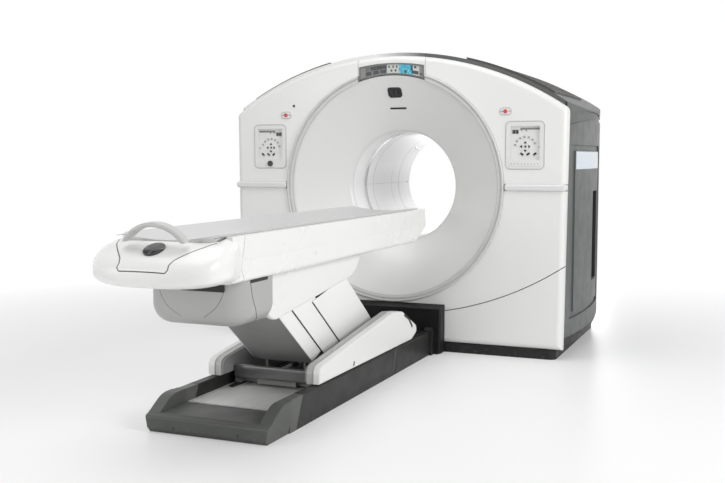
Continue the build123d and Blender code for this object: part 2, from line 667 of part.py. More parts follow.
def rotor_drum():
    """Rotating disc with its bearing journal and a rim for the drive belt."""
    disc_end = ROTOR_REAR + ROTOR_DISC
    frame_end = FRAME_FRONT + FRAME_THICK
    disc = tube_along_bore(ROTOR_BORE, ROTOR_RADIUS, ROTOR_REAR, disc_end)
    journal = tube_along_bore(ROTOR_BORE, BEARING_RADIUS, disc_end, frame_end + 20)
    collar = tube_along_bore(ROTOR_BORE, BEARING_RADIUS + 16, frame_end + 2, frame_end + 24)
    rim = tube_along_bore(ROTOR_RADIUS - 14, ROTOR_RADIUS, ROTOR_REAR - 50, ROTOR_REAR + 1)
    return disc + journal + collar + rim


def on_rotor(angle, radius, y):
    """A place on the rotor, at an angle from straight up."""
    turn = math.radians(angle)
    return Pos(radius * math.sin(turn), y, ISO_HEIGHT + radius * math.cos(turn)) * Rot(0, angle, 0)


def xray_tube():
    """Tube housing with its collimator, seated on the rotor disc at the top."""
    place = on_rotor(0, TUBE_PLACE, 0)
    body = Pos(0, ROTOR_REAR - 78, 0) * Rot(90, 0, 0) * Cylinder(85, 156)
    stand = Pos(0, ROTOR_REAR - 40, -60) * Box(120, 80, 70)
    fan = Pos(0, ROTOR_REAR - 60, -110) * Box(90, 60, 60)
    port = Pos(120, ROTOR_REAR - 60, 0) * Box(120, 110, 90)
    return place * (body + stand + fan + port)


def detector_arc():
    """Curved detector opposite the tube, in a channel on the disc."""
    channel = tube_along_bore(DETECTOR_INNER, DETECTOR_OUTER, ROTOR_REAR - 90, ROTOR_REAR)
    groove = tube_along_bore(DETECTOR_INNER - 2, DETECTOR_INNER + 15, ROTOR_REAR - 75, ROTOR_REAR - 15)
    lower = block(-ROTOR_RADIUS, ROTOR_RADIUS, 0, ROTOR_REAR + 1, 0, ISO_HEIGHT - 330)
    return (channel - groove) & lower


def hv_generator():
    """High voltage tank on the left of the disc."""
    tank = Pos(0, ROTOR_REAR - 75, 0) * Box(150, 150, 300)
    return Pos(-TUBE_PLACE, 0, ISO_HEIGHT + 60) * tank


def pet_detector_ring():
    """Ring of detector blocks round the rear of the bore."""
    ring = tube_along_bore(PET_INNER, PET_OUTER, PET_FRONT, PET_REAR)
    pitch = 360 / PET_BLOCKS
    for index in range(PET_BLOCKS):
        angle = math.radians(index * pitch)
        x = (PET_OUTER + 6) * math.cos(angle)
        z = ISO_HEIGHT + (PET_OUTER + 6) * math.sin(angle)
        ring += Pos(x, (PET_FRONT + PET_REAR) / 2, z) * Rot(0, -index * pitch, 0) * Box(40, 200, 90)
    return ring


def pulley_centre():
    """Middle of the drive pulley, just outside the rotor's rim."""
    angle = math.radians(PULLEY_ANGLE)
    reach = ROTOR_RADIUS + PULLEY_RADIUS + 4
    return reach * math.sin(angle), ISO_HEIGHT + reach * math.cos(angle)


def drive_motor():
    """Motor of the ring drive, on a foot bolted to the stand."""
    x, z = pulley_centre()
    back = FRAME_FRONT + FRAME_THICK
    motor = front_view(Pos(x, z) * Circle(MOTOR_RADIUS), back, back + MOTOR_LENGTH)
    spigot = front_view(Pos(x, z) * Circle(MOTOR_SPIGOT), FRAME_FRONT - 30, back + 1)
    bearing = front_view(Pos(x, z) * Circle(PULLEY_SHAFT + RUNNING_FIT), FRAME_FRONT - 31, back)
    return motor + spigot - bearing


def drive_pulley():
    """Belt pulley on the motor shaft, in line with the rotor's rim."""
    x, z = pulley_centre()
    wheel = front_view(Pos(x, z) * Circle(PULLEY_RADIUS), ROTOR_REAR - 50, ROTOR_REAR)
    shaft = front_view(Pos(x, z) * Circle(PULLEY_SHAFT), ROTOR_REAR, FRAME_FRONT + FRAME_THICK - 2)
    return wheel + shaft


# Floor base of the table

def base_frame():
    """Long floor base with a tray between two side rails and two guide strips."""
    front = BASE_CAP_REAR + SEAT
    outline = Polyline((front, BASE_HEIGHT), (front - CAP_SEAM_LEAN, 0), (BASE_REAR, 0), (BASE_REAR, BASE_HEIGHT),
                       close=True)
    body = side_view(make_face(outline), -BASE_HALF, BASE_HALF)
    body = fillet(body.edges().filter_by(Axis.Y).group_by(Axis.Z)[-1], BASE_ROUND)
    body -= block(-TRAY_HALF, TRAY_HALF, front - CAP_SEAM_LEAN - 1, BASE_REAR - 40, TRAY_FLOOR, BASE_HEIGHT + 1)
    for side in (-1, 1):
        body += block(side * GUIDE_X - GUIDE_WIDTH / 2, side * GUIDE_X + GUIDE_WIDTH / 2,
                      BASE_CAP_REAR + 330, BASE_REAR - 45, TRAY_FLOOR - 1, TRAY_FLOOR + PLATE_THICK + GUIDE_HEIGHT)
        body += rail_end(side)
    groove = block(-BASE_HALF - 1, BASE_HALF + 1, SKIRT_SEAM_Y - 1.5, SKIRT_SEAM_Y + 1.5, -1, BASE_HEIGHT + 1)
    skin = block(-BASE_HALF + 2, BASE_HALF - 2, SKIRT_SEAM_Y - 5, SKIRT_SEAM_Y + 5, -2, BASE_HEIGHT - 2)
    return body - (groove - skin)


def rail_end(side):
    """Raised bracket where a side rail meets the docking housing."""
    outer = side * (BASE_HALF + 16)
    inner = side * (BASE_HALF - 30)
    bracket = block(inner, outer, RAIL_END_Y + 60, BASE_REAR, 0, BASE_HEIGHT + 22)
    return chamfer(bracket.edges().filter_by(Axis.X).group_by(Axis.Y)[0].sort_by(Axis.Z)[-1], 14)


def base_plate():
    """Steel sheet on the tray's floor, slotted round the guide strips."""
    z0 = TRAY_FLOOR
    front = BASE_CAP_REAR + 8
    plate = block(-TRAY_HALF + 1, TRAY_HALF - 1, front, BASE_REAR - 42, z0, z0 + PLATE_THICK)
    for side in (-1, 1):
        plate -= block(side * GUIDE_X - GUIDE_WIDTH / 2 - 1, side * GUIDE_X + GUIDE_WIDTH / 2 + 1,
                       BASE_CAP_REAR + 328, BASE_REAR - 30, z0 - 1, z0 + PLATE_THICK + 1)
    return plate


def base_end_cap():
    """Moulded cap at the foot end: a low nose between two rising cheeks, drawn in towards the floor."""
    ramp = BASE_FRONT + 175
    half = BASE_HALF + CAP_DRAFT / 2
    low_rear = BASE_CAP_REAR - CAP_SEAM_LEAN
    cheek = Polyline((low_rear, 0), (BASE_FRONT + 16, 0), (BASE_FRONT, 22), (BASE_FRONT, BASE_NOSE - 14))
    nose = RadiusArc((BASE_FRONT, BASE_NOSE - 14), (BASE_FRONT + 16, BASE_NOSE), 16)
    rise = Spline((BASE_FRONT + 16, BASE_NOSE), (BASE_FRONT + 96, 124), (ramp, BASE_HEIGHT),
                  tangents=((1, 0.45), (1, 0.0)))
    close = Polyline((ramp, BASE_HEIGHT), (BASE_CAP_REAR, BASE_HEIGHT), (low_rear, 0))
    cap = side_view(make_face([cheek, nose, rise, close]), -half, half)
    for side in (-1, 1):
        wedge = Polyline((side * (half + 1), -1), (side * (half + 1), BASE_NOSE), (side * half, BASE_NOSE),
                         (side * (half - CAP_DRAFT), -1), close=True)
        cap -= front_view(make_face(wedge), BASE_FRONT - 1, BASE_CAP_REAR + 1)
        step = block(side * BASE_HALF, side * (half + 1), BASE_CAP_REAR - 30, BASE_CAP_REAR + 1, -1, BASE_HEIGHT + 1)
        cap -= step
    floor = TRAY_FLOOR + PLATE_THICK
    well = Polyline((BASE_CAP_REAR + 1, floor), (BASE_CAP_REAR - 50, floor + 4), (BASE_FRONT + 30, BASE_NOSE),
                    (BASE_FRONT + 30, 200), (BASE_CAP_REAR + 1, 200), close=True)
    return cap - side_view(make_face(well), -TRAY_HALF, TRAY_HALF)


def docking_bridge():
    """Dark housing where the floor base meets the gantry."""
    top = Polyline((BRIDGE_BOX_FRONT, 6), (-1, 6), (-1, BRIDGE_BOX_TOP), (BRIDGE_BOX_FRONT, BRIDGE_BOX_TOP - 18),
                   close=True)
    box = side_view(make_face(top), -BRIDGE_BOX_HALF, BRIDGE_BOX_HALF)
    box = fillet(box.edges().filter_by(Axis.Z).group_by(Axis.Y)[0], 12)
    foot = block(-BRIDGE_BOX_HALF + 20, BRIDGE_BOX_HALF - 20, BRIDGE_BOX_FRONT + 10, PLINTH_FRONT, 0, 50)
    return box + foot


# Pedestal that rides on the base

def shoe_outline(inset):
    """Side view of a shoe: rounded toe, long rise to a peak and a rounded heel."""
    points = [(SHOE_TOE, SHOE_CLEAR), (SHOE_TOE + 4, 226), (SHOE_TOE + 50, 240), (SHOE_PEAK - 60, 356),
              (SHOE_PEAK + 90, 338), (SHOE_HEEL - 6, 222), (SHOE_HEEL - 20, SHOE_CLEAR + 30),
              (SHOE_HEEL - 96, SHOE_CLEAR)]
    face = make_face(Polyline(*points, close=True))
    corners = face.vertices().sort_by(Axis.X)
    face = fillet([v for v in corners if v.Y > SHOE_CLEAR + 60], 38)
    return offset(face, -inset) if inset else face


def shoe_cover():
    """Right white shoe cover over the rail: a soft outer shell and a banded inner edge."""
    solid = side_view(shoe_outline(0), SHOE_INNER, SHOE_OUTER)
    solid = fillet(solid.faces().sort_by(Axis.X)[-1].edges(), 12)
    groove = side_view(offset(shoe_outline(0), 5) - shoe_outline(3), SHOE_SEAM_X, SHOE_SEAM_X + 3)
    hollow = side_view(shoe_outline(9), SHOE_INNER - 1, SHOE_OUTER - 9)
    return solid - groove - hollow


def pedestal_frame():
    """Slide carriage: side plates, cross bars, lugs and the lower shafts of the arms."""
    half_plate = SIDE_PLATE_THICK / 2
    plates = side_view(shoe_outline(6), SIDE_PLATE_X - half_plate, SIDE_PLATE_X + half_plate)
    low = TRAY_FLOOR + PLATE_THICK + 5
    skirt = block(SIDE_PLATE_X - half_plate, SIDE_PLATE_X + half_plate, SHOE_TOE + 160, SHOE_PEAK + 200, low,
                  SHOE_CLEAR + 20)
    pad_z = TRAY_FLOOR + PLATE_THICK + GUIDE_HEIGHT + SEAT
    side = plates + skirt
    for y in CROSS_BAR_PLACES:
        side += block(GUIDE_X - GUIDE_WIDTH / 2, SIDE_PLATE_X, y - 70, y + 70, pad_z, pad_z + 22)
    frame = side + mirrored(side)
    for y in CROSS_BAR_PLACES:
        frame += block(-SIDE_PLATE_X, SIDE_PLATE_X, y - 30, y + 30, pad_z, pad_z + 22)
    frame += block(-LUG_X - 6, LUG_X + 6, *CROSS_BAR_PLACES, pad_z, pad_z + 10)
    frame += side_view(Pos(BAR_Y, BAR_TOP - 25) * RectangleRounded(36, 50, 12), -BAR_HALF, BAR_HALF)
    frame += block(-LUG_X, LUG_X, BAR_Y + 4, CROSS_BAR_PLACES[0], pad_z, BAR_TOP - 40)
    for pivot_y in (FRONT_PIVOT_Y, REAR_PIVOT_Y):
        frame += lug_pair(pivot_y, PIVOT_Z, pad_z, SHAFT_RADIUS)
        frame += rod_across(SHAFT_RADIUS, -ARM_X - 8, ARM_X + 8, pivot_y, PIVOT_Z)
    stub_end = MIDDLE_SHEET_X - 12
    frame += lug_pair(MIDDLE_PIVOT_Y, PIVOT_Z, pad_z, STUB_RADIUS)
    frame += rod_across(STUB_RADIUS, -stub_end, stub_end, MIDDLE_PIVOT_Y, PIVOT_Z)
    return frame


def lug_pair(y, z, foot, radius):
    """Two upright lugs that hold a shaft."""
    eye = radius + 10
    face = Pos(y, z) * Circle(eye)
    web = make_face(Polyline((y - radius - 2, z), (y - radius - 2, foot), (y + 60, foot), (y + eye, z),
                             close=True))
    lug = side_view(face + web, LUG_X - LUG_THICK / 2, LUG_X + LUG_THICK / 2)
    return lug + mirrored(lug)


# Arms of the column

def along_arm(pivot_y, t, n):
    """A point at t up the arm and n to its rear side, as (y, z)."""
    y = pivot_y - t * math.cos(TILT) + n * math.sin(TILT)
    z = PIVOT_Z + t * math.sin(TILT) + n * math.cos(TILT)
    return y, z


def arm_sheet(pivot_y, corners, x, thick=PANEL_SHEET):
    """A flat sheet beside the arm, given its corners along and across it."""
    outline = [along_arm(pivot_y, t, n) for t, n in corners]
    return side_view(make_face(Polyline(*outline, close=True)), x - thick / 2, x + thick / 2)


def arm_bar(pivot_y, x, open_fit):
    """One arm plate with a bearing eye at each end."""
    low = along_arm(pivot_y, 0, 0)
    high = along_arm(pivot_y, ARM_LENGTH, 0)
    corners = [(0, -ARM_HALF), (ARM_LENGTH, -ARM_HALF), (ARM_LENGTH, ARM_HALF), (0, ARM_HALF)]
    outline = make_face(Polyline(*[along_arm(pivot_y, t, n) for t, n in corners], close=True))
    outline += Pos(*low) * Circle(ARM_HALF)
    outline += Pos(*high) * Circle(ARM_HALF)
    outline -= Pos(*low) * Circle(SHAFT_RADIUS + RUNNING_FIT)
    outline -= Pos(*high) * Circle(SHAFT_RADIUS + open_fit)
    return side_view(outline, x - ARM_THICK / 2, x + ARM_THICK / 2)


def lift_arm(pivot_y, open_fit, boss_reach, boss_n):
    """A pair of arm plates joined by two cross tubes, with bosses for the side sheets."""
    bar = arm_bar(pivot_y, ARM_X, open_fit)
    for t in (250, 500):
        y, z = along_arm(pivot_y, t, boss_n)
        bar += rod_across(BOSS_RADIUS, ARM_X, boss_reach, y, z)
    arm = bar + mirrored(bar)
    for t in (300, 440):
        y, z = along_arm(pivot_y, t, 0)
        arm += rod_across(TUBE_RADIUS, -ARM_X, ARM_X, y, z)
    return arm


def front_arm_parts():
    """Front arm, its dark facing panel and the front pair of side sheets."""
    arm = lift_arm(FRONT_PIVOT_Y, RUNNING_FIT, FRONT_SHEET_X - PANEL_SHEET / 2, 0)
    facing = [(20, -34), (610, -34), (610, -30), (20, -30)]
    outline = [along_arm(FRONT_PIVOT_Y, t, n) for t, n in facing]
    half = FRONT_SHEET_X - PANEL_SHEET / 2
    panel = side_view(make_face(Polyline(*outline, close=True)), -half, half)
    cleats = Part()
    for t in (160, 420):
        y, z = along_arm(FRONT_PIVOT_Y, t, -29)
        cleat = Pos(0, y, z) * Rot(-LIFT_ANGLE, 0, 0) * Box(2 * ARM_X - 20, 40, 3)
        cleats += cleat
    sheet = arm_sheet(FRONT_PIVOT_Y, [(40, -34), (640, -34), (700, 90), (-40, 90)], FRONT_SHEET_X)
    return {
        "front_arm": arm,
        "column_front_panel": panel + cleats,
        "column_sheet_front_right": sheet,
        "column_sheet_front_left": mirrored(sheet),
    }


def middle_sheet():
    """Right middle side sheet with the hub that turns on the pedestal's stub."""
    corners = [(150, -113), (620, -113), (700, 60), (-20, 60), (-20, -10)]
    sheet = arm_sheet(MIDDLE_PIVOT_Y, corners, MIDDLE_SHEET_X)
    hub = rod_across(STUB_RADIUS + 8, MIDDLE_SHEET_X - 28, MIDDLE_SHEET_X, MIDDLE_PIVOT_Y, PIVOT_Z)
    hole = rod_across(STUB_RADIUS + RUNNING_FIT, MIDDLE_SHEET_X - 40, MIDDLE_SHEET_X - 10,
                      MIDDLE_PIVOT_Y, PIVOT_Z)
    return sheet + hub - hole


def rear_arm_parts():
    """Rear arm and the broad U shaped cover it carries."""
    arm = lift_arm(REAR_PIVOT_Y, OPEN_PIVOT_FIT, REAR_SHEET_X - PANEL_SHEET / 2, 18)
    low_front = -166
    sheet = arm_sheet(REAR_PIVOT_Y, [(215, low_front), (700, low_front), (440, 137), (-60, 137), (-60, 90)],
                      REAR_SHEET_X)
    back = [along_arm(REAR_PIVOT_Y, t, n) for t, n in ((-60, 133), (430, 133), (430, 137), (-60, 137))]
    web = side_view(make_face(Polyline(*back, close=True)), -REAR_SHEET_X, REAR_SHEET_X)
    return {"rear_arm": arm, "column_rear_cover": sheet + mirrored(sheet) + web}


# Table top on the arms

def carriage_frame():
    """Lugs and shafts at the arms' upper ends, under a deck plate inside the beam."""
    frame = block(-LUG_X - 40, LUG_X + 40, FRONT_PIVOT_Y + UPPER_SHIFT_Y - 120,
                  REAR_PIVOT_Y + UPPER_SHIFT_Y + 120, BED_Z - 26, BED_Z - BEAM_WALL)
    for pivot_y in (FRONT_PIVOT_Y, REAR_PIVOT_Y):
        y = pivot_y + UPPER_SHIFT_Y
        face = Pos(y, UPPER_PIVOT_Z) * Circle(SHAFT_RADIUS + 14)
        web = make_face(Polyline((y - SHAFT_RADIUS - 14, UPPER_PIVOT_Z), (y - 60, BED_Z - 20),
                                 (y + 60, BED_Z - 20), (y + SHAFT_RADIUS + 14, UPPER_PIVOT_Z), close=True))
        lug = side_view(face + web, LUG_X - LUG_THICK / 2, LUG_X + LUG_THICK / 2)
        frame += lug + mirrored(lug)
        frame += rod_across(SHAFT_RADIUS, -ARM_X - 8, ARM_X + 8, y, UPPER_PIVOT_Z)
    return frame


def beam():
    """Table top chassis: a deep channel with an undercut head end and a bed for the cradle."""
    outline = Polyline((BEAM_FOOT, BEAM_BOTTOM), (BEAM_HEAD - 240, BEAM_BOTTOM), (BEAM_HEAD - 10, BED_Z - 62),
                       (BEAM_HEAD, BED_Z - 40), (BEAM_HEAD, BEAM_TOP), (BEAM_FOOT, BEAM_TOP), close=True)
    solid = side_view(make_face(outline), -BEAM_HALF, BEAM_HALF)
    solid = fillet(solid.edges().filter_by(Axis.Y).group_by(Axis.Z)[0], BEAM_ROUND)
    plan = Pos(0, (BEAM_FOOT + BEAM_HEAD) / 2 - HEAD_ROUND) * RectangleRounded(
        2 * BEAM_HALF, BEAM_HEAD - BEAM_FOOT + 2 * HEAD_ROUND, HEAD_ROUND)
    solid &= plan_view(plan, BEAM_BOTTOM - 1, BEAM_TOP + 1)
    bed = block(-CRADLE_HALF - SEAM, CRADLE_HALF + SEAM, BEAM_FOOT - 1, 0, BED_Z, BEAM_TOP + 1)
    cavity = block(-CAVITY_HALF, CAVITY_HALF, BEAM_FOOT + 20, BEAM_HEAD - 360, BEAM_BOTTOM - 1, BED_Z - BEAM_WALL)
    stripe = block(BEAM_HALF - 3, BEAM_HALF + 1, BEAM_FOOT + 90, BEAM_HEAD - 150, BED_Z - 65, BED_Z - 18)
    return solid - bed - cavity - stripe - mirrored(stripe)


def cradle():
    """Long shallow trough that carries the patient, rounded at both ends."""
    z0 = BED_Z + SEAT
    section = make_face([
        Polyline((-CRADLE_HALF, CRADLE_TOP), (-CRADLE_HALF, CRADLE_TOP - 12), (-CRADLE_HALF + 30, z0),
                 (CRADLE_HALF - 30, z0), (CRADLE_HALF, CRADLE_TOP - 12), (CRADLE_HALF, CRADLE_TOP),
                 (CRADLE_HALF - 8, CRADLE_TOP)),
        ThreePointArc((CRADLE_HALF - 8, CRADLE_TOP), (0, CRADLE_TOP - 24), (-CRADLE_HALF + 8, CRADLE_TOP)),
        Line((-CRADLE_HALF + 8, CRADLE_TOP), (-CRADLE_HALF, CRADLE_TOP))])
    solid = front_view(section, CRADLE_FOOT, CRADLE_HEAD)
    middle = (CRADLE_FOOT + CRADLE_HEAD) / 2
    plan = Pos(0, middle) * RectangleRounded(2 * CRADLE_HALF, CRADLE_HEAD - CRADLE_FOOT, 70)
    return solid & plan_view(plan, z0 - 5, CRADLE_TOP + 5)


def shoulder():
    """Right white shield over the upper joints: a round front and a long tapered tail."""
    nose = SHOULDER_HEIGHT / 2
    centre_y = UPPER_FRONT_Y - 12 + nose
    centre_z = BEAM_BOTTOM - nose
    tail = (UPPER_REAR_Y + 340, UPPER_PIVOT_Z - 76)
    rear = (UPPER_REAR_Y + 478, BEAM_BOTTOM)
    reach = math.dist(tail, (centre_y, centre_z))
    turn = math.atan2(tail[1] - centre_z, tail[0] - centre_y) - math.acos(nose / reach)
    touch = (centre_y + nose * math.cos(turn), centre_z + nose * math.sin(turn))
    outline = make_face([
        ThreePointArc((centre_y, BEAM_BOTTOM), (centre_y - nose, centre_z), touch),
        Line(touch, tail),
        ThreePointArc(tail, (rear[0] - 55, BEAM_BOTTOM - 70), rear),
        Line(rear, (centre_y, BEAM_BOTTOM))])
    solid = side_view(outline, SHOULDER_INNER, SHOULDER_OUTER)
    face = solid.faces().sort_by(Axis.X)[-1]
    solid = fillet(face.edges().filter_by(lambda e: e.center().Z < BEAM_BOTTOM - 5), SHOULDER_ROUND)
    hook = block(SHOULDER_INNER, SHOULDER_INNER + 8, UPPER_FRONT_Y + 125, UPPER_REAR_Y + 333, BEAM_BOTTOM - 4,
                 BED_Z - BEAM_WALL)
    return solid + hook


def belly_tub(inset):
    """Tub with round corners and a round bottom, open at its rear end."""
    half = BELLY_HALF - inset
    front = BELLY_FRONT + inset
    bottom = BEAM_BOTTOM - BELLY_DEPTH + inset
    tub = block(-half, half, front, BELLY_REAR + 200, bottom, BEAM_BOTTOM)
    tub = fillet(tub.edges().filter_by(Axis.Z).group_by(Axis.Y)[0], BELLY_CORNER - inset)
    tub = fillet(tub.edges().group_by(Axis.Z)[0].filter_by(lambda e: e.center().Y < BELLY_REAR + 190),
                 BELLY_ROUND - inset)
    return tub & block(-half - 1, half + 1, front - 1, BELLY_REAR, bottom - 1, BEAM_BOTTOM + 1)


def belly_cover():
    """Grey pan under the foot end of the beam, with room for the shoulders."""
    relief = block(SHOULDER_INNER - 3, BELLY_HALF + 1, UPPER_FRONT_Y - 15, BELLY_REAR + 1, 0, BEAM_BOTTOM + 1)
    return belly_tub(0) - belly_tub(COVER_WALL) - relief - mirrored(relief)


def end_section(y, half, low, high, corner):
    """One rounded cross section of the foot end."""
    plane = Plane(origin=(0, y, (low + high) / 2), x_dir=(1, 0, 0), z_dir=(0, -1, 0))
    return plane * RectangleRounded(2 * half, high - low, corner)


def end_cover():
    """White moulded foot end, drawn through rounded sections, with a bed for the cradle's end."""
    seat = BEAM_FOOT - SEAT
    tip = seat - END_LENGTH
    low = BEAM_BOTTOM
    high = BEAM_TOP
    sections = [
        end_section(seat, BEAM_HALF, low, high, BEAM_ROUND),
        end_section(seat - 0.35 * END_LENGTH, END_HALF - 6, low + 3, high - 6, 34),
        end_section(seat - 0.62 * END_LENGTH, END_HALF, low + 16, high - 24, 44),
        end_section(seat - 0.86 * END_LENGTH, END_HALF - 34, low + 40, high - 44, 48),
        end_section(tip, END_HALF - 110, low + 74, high - 62, 26),
    ]
    body = loft(sections)
    well = block(-CRADLE_HALF - SEAM, CRADLE_HALF + SEAM, CRADLE_FOOT - 6, seat + 1, BED_Z, BEAM_TOP + 5)
    return body - well


def arch_handle(console):
    """Push handle arched over the console, its feet cut to the console's face."""
    foot_z = HANDLE_TOP - HANDLE_RISE
    path = ThreePointArc((-HANDLE_HALF, HANDLE_Y, foot_z), (0, HANDLE_Y - 12, HANDLE_TOP),
                         (HANDLE_HALF, HANDLE_Y, foot_z))
    section = Plane(path @ 0, x_dir=(0, 1, 0), z_dir=path % 0) * RectangleRounded(HANDLE_WIDTH, HANDLE_THICK, 8)
    return sweep(section, path) - console


def build_all():
    """Every named piece of the scanner."""
    parts = {}
    parts.update(front_covers())
    parts.update(dish_parts())
    rail = grab_rail()
    cover = side_cover()
    door = side_door()
    vent = top_vent()
    shoe = shoe_cover()
    sheet = middle_sheet()
    shield = shoulder()
    pairs = {"grab_rail": rail, "side_cover": cover, "side_door": door, "top_vent": vent,
             "shoe_cover": shoe, "column_sheet_middle": sheet, "shoulder_cover": shield}
    for name, solid in pairs.items():
        parts[name + "_right"] = solid
        parts[name + "_left"] = mirrored(solid)
    for name, side in (("right", 1), ("left", -1)):
        parts["control_panel_" + name] = control_panel(side)
        parts["emergency_stop_" + name] = stop_button(side)
    parts["display_panel"] = display_panel()
    parts["alignment_window"] = alignment_window(parts["dish_cover"])
    parts["top_cover"] = top_cover()
    parts["rear_cover"] = rear_cover()
    parts["gantry_plinth"] = plinth()
    parts["gantry_frame"] = gantry_frame()
    parts["rotor_drum"] = rotor_drum()
    parts["xray_tube"] = xray_tube()
    parts["detector_arc"] = detector_arc()
    parts["hv_generator"] = hv_generator()
    parts["pet_detector_ring"] = pet_detector_ring()
    parts["drive_motor"] = drive_motor()
    parts["drive_pulley"] = drive_pulley()
    parts["base_frame"] = base_frame()
    parts["base_plate"] = base_plate()
    parts["base_end_cap"] = base_end_cap()
    parts["docking_bridge"] = docking_bridge()
    parts["pedestal_frame"] = pedestal_frame()
    parts.update(front_arm_parts())
    parts.update(rear_arm_parts())
    parts["carriage_frame"] = carriage_frame()
    parts["table_beam"] = beam()
    parts["cradle"] = cradle()
    parts["belly_cover"] = belly_cover()
    parts["end_cover"] = end_cover()
    parts["arch_handle"] = arch_handle(parts["end_cover"])
    return parts


if __name__ == "__main__":
    os.makedirs("parts", exist_ok=True)
    for name, solid in build_all().items():
        export_step(solid, f"parts/{name}.step")
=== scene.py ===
import math

import bmesh
import bpy
import numpy as np
from bpy.props import FloatProperty, FloatVectorProperty, IntProperty, PointerProperty
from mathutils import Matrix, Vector
from mathutils.bvhtree import BVHTree


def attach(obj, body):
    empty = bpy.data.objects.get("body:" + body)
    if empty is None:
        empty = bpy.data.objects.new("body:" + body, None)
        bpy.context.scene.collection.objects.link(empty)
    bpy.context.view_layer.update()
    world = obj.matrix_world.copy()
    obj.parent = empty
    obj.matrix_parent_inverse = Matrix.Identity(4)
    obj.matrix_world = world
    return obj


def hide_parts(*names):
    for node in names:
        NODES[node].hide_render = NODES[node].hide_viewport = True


bl_info = {
    "name": "Whole Body Scanner Looks",
    "version": (1, 0, 0),
    "blender": (4, 5, 0),
    "location": "View3D > Sidebar > Scanner",
    "description": "Finishes, fittings and studio for a ring scanner with its patient table",
    "category": "Object",
}

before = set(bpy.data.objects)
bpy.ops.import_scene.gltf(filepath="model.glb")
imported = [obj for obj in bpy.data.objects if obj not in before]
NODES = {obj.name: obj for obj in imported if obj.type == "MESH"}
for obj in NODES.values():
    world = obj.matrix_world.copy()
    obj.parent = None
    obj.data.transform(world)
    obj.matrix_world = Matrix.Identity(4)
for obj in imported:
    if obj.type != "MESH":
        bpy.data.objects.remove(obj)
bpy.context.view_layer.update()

# Places and sizes that follow the CAD part, in metres
ISO_Z = 1.027
FRONT_FACE = 0.0
BORE_RADIUS = 0.352
PANEL_X, PANEL_Z = 0.851, 1.282
PLATE_FACE = -0.003
FIELD_FACE = 0.011
KEY_FACE = 0.008
STOP_X, STOP_Z = 0.732, 1.484
ARCH_RADIUS, ARCH_TOP = 1.95, 1.84
DISH_RIM_RADIUS, DISH_RIM_Y = 0.6925, 0.0045
DISH_FALL, DISH_WIDTH = 0.1995, 0.3145
LIFT_ANGLE = math.radians(37.7)
ARM_FOOT_Z = 0.215
BEAM_HALF = 0.262
BEAM_LOW, BEAM_HIGH, BED_Z = 0.7051, 0.8961, 0.8601
# Edge of the painted shade on the inner top of the shoes
SHOE_SHADE_X = 0.266
CAP_SEAM_LEAN, CAP_SEAM_Y = -0.49, -1.941

SIDES = ((1, "right"), (-1, "left"))
FROM_RIGHT, FROM_FRONT, FROM_ABOVE = (-1, 0, 0), (0, 1, 0), (0, 0, -1)
SHARP_ANGLE = math.radians(38)
ORANGE_PEEL = 0.000002

# Studio: each lamp's name, place, point aimed at and width, and the camera
LAMPS = (
    ("key_light", (6.2, -2.9, 2.9), (0.0, -1.2, 0.6), 3.0),
    ("top_light", (-0.4, -1.6, 5.2), (0.0, -0.9, 0.8), 4.0),
    ("front_light", (-2.0, -5.0, 1.3), (0.0, -2.3, 0.5), 1.8),
    ("bore_light", (-0.3, 4.6, 1.1), (0.0, 0.9, 1.05), 1.8),
)
CAMERA_PLACE = (2.24, -5.82, 1.21)
CAMERA_DOWN, CAMERA_TURN = 4.85, 22.69


def colour_property(name, description, default):
    """A colour that the user can change, as linear red, green and blue."""
    return FloatVectorProperty(name=name, description=description, default=default, subtype="COLOR",
                               size=3, min=0.0, max=1.0)


def size_property(name, description, default, low, high):
    """A length that the user can change."""
    return FloatProperty(name=name, description=description, default=default, min=low, max=high,
                         subtype="DISTANCE", unit="LENGTH")


def power_property(name, description, default):
    """A lamp's power that the user can change."""
    return FloatProperty(name=name, description=description, default=default, min=0.0, unit="POWER")


class ScannerColours(bpy.types.PropertyGroup):
    """Base colours of the scanner's finishes."""
    cover_white: colour_property("Cover white", "Painted covers, table top and shoes", (0.80, 0.80, 0.79))
    dish_grey: colour_property("Dish grey", "Satin cone round the bore", (0.78, 0.78, 0.77))
    rim_grey: colour_property("Rim grey", "Raised ring round the dish", (0.58, 0.58, 0.575))
    bore_white: colour_property("Bore white", "Liner of the bore", (0.85, 0.85, 0.85))
    side_grey: colour_property("Side grey", "Side and rear covers", (0.110, 0.115, 0.115))
    vent_brown: colour_property("Vent brown", "Ribbed roof vents", (0.085, 0.080, 0.074))
    base_charcoal: colour_property("Base charcoal", "Floor base and plinth", (0.024, 0.024, 0.0235))
    cap_grey: colour_property("Cap grey", "End cap of the floor base", (0.105, 0.110, 0.104))
    floor_steel: colour_property("Floor steel", "Sheet in the base's tray", (0.80, 0.80, 0.78))
    column_grey: colour_property("Column grey", "Facing panel of the column", (0.32, 0.32, 0.32))
    belly_grey: colour_property("Belly grey", "Pan under the table's foot end", (0.42, 0.42, 0.41))
    panel_silver: colour_property("Panel silver", "Operator panels", (0.74, 0.74, 0.73))
    key_black: colour_property("Key black", "Arrows, knob and dots", (0.012, 0.012, 0.012))
    stop_red: colour_property("Stop red", "Emergency stop heads", (0.55, 0.02, 0.03))
    screen_cyan: colour_property("Screen cyan", "Lit field of the status display", (0.02, 0.25, 0.36))


class ScannerSizes(bpy.types.PropertyGroup):
    """Sizes of the small fittings."""
    key_radius: size_property("Key radius", "Round key on a panel", 0.0068, 0.002, 0.012)
    arrow_reach: size_property("Arrow reach", "Arrow key from the pad's middle", 0.0245, 0.015, 0.04)
    badge_radius: size_property("Badge radius", "Plain disc on the console", 0.046, 0.01, 0.06)
    corner_steps: IntProperty(name="Corner steps", description="Points on each corner of a panel's outline",
                              default=8, min=3, max=24)


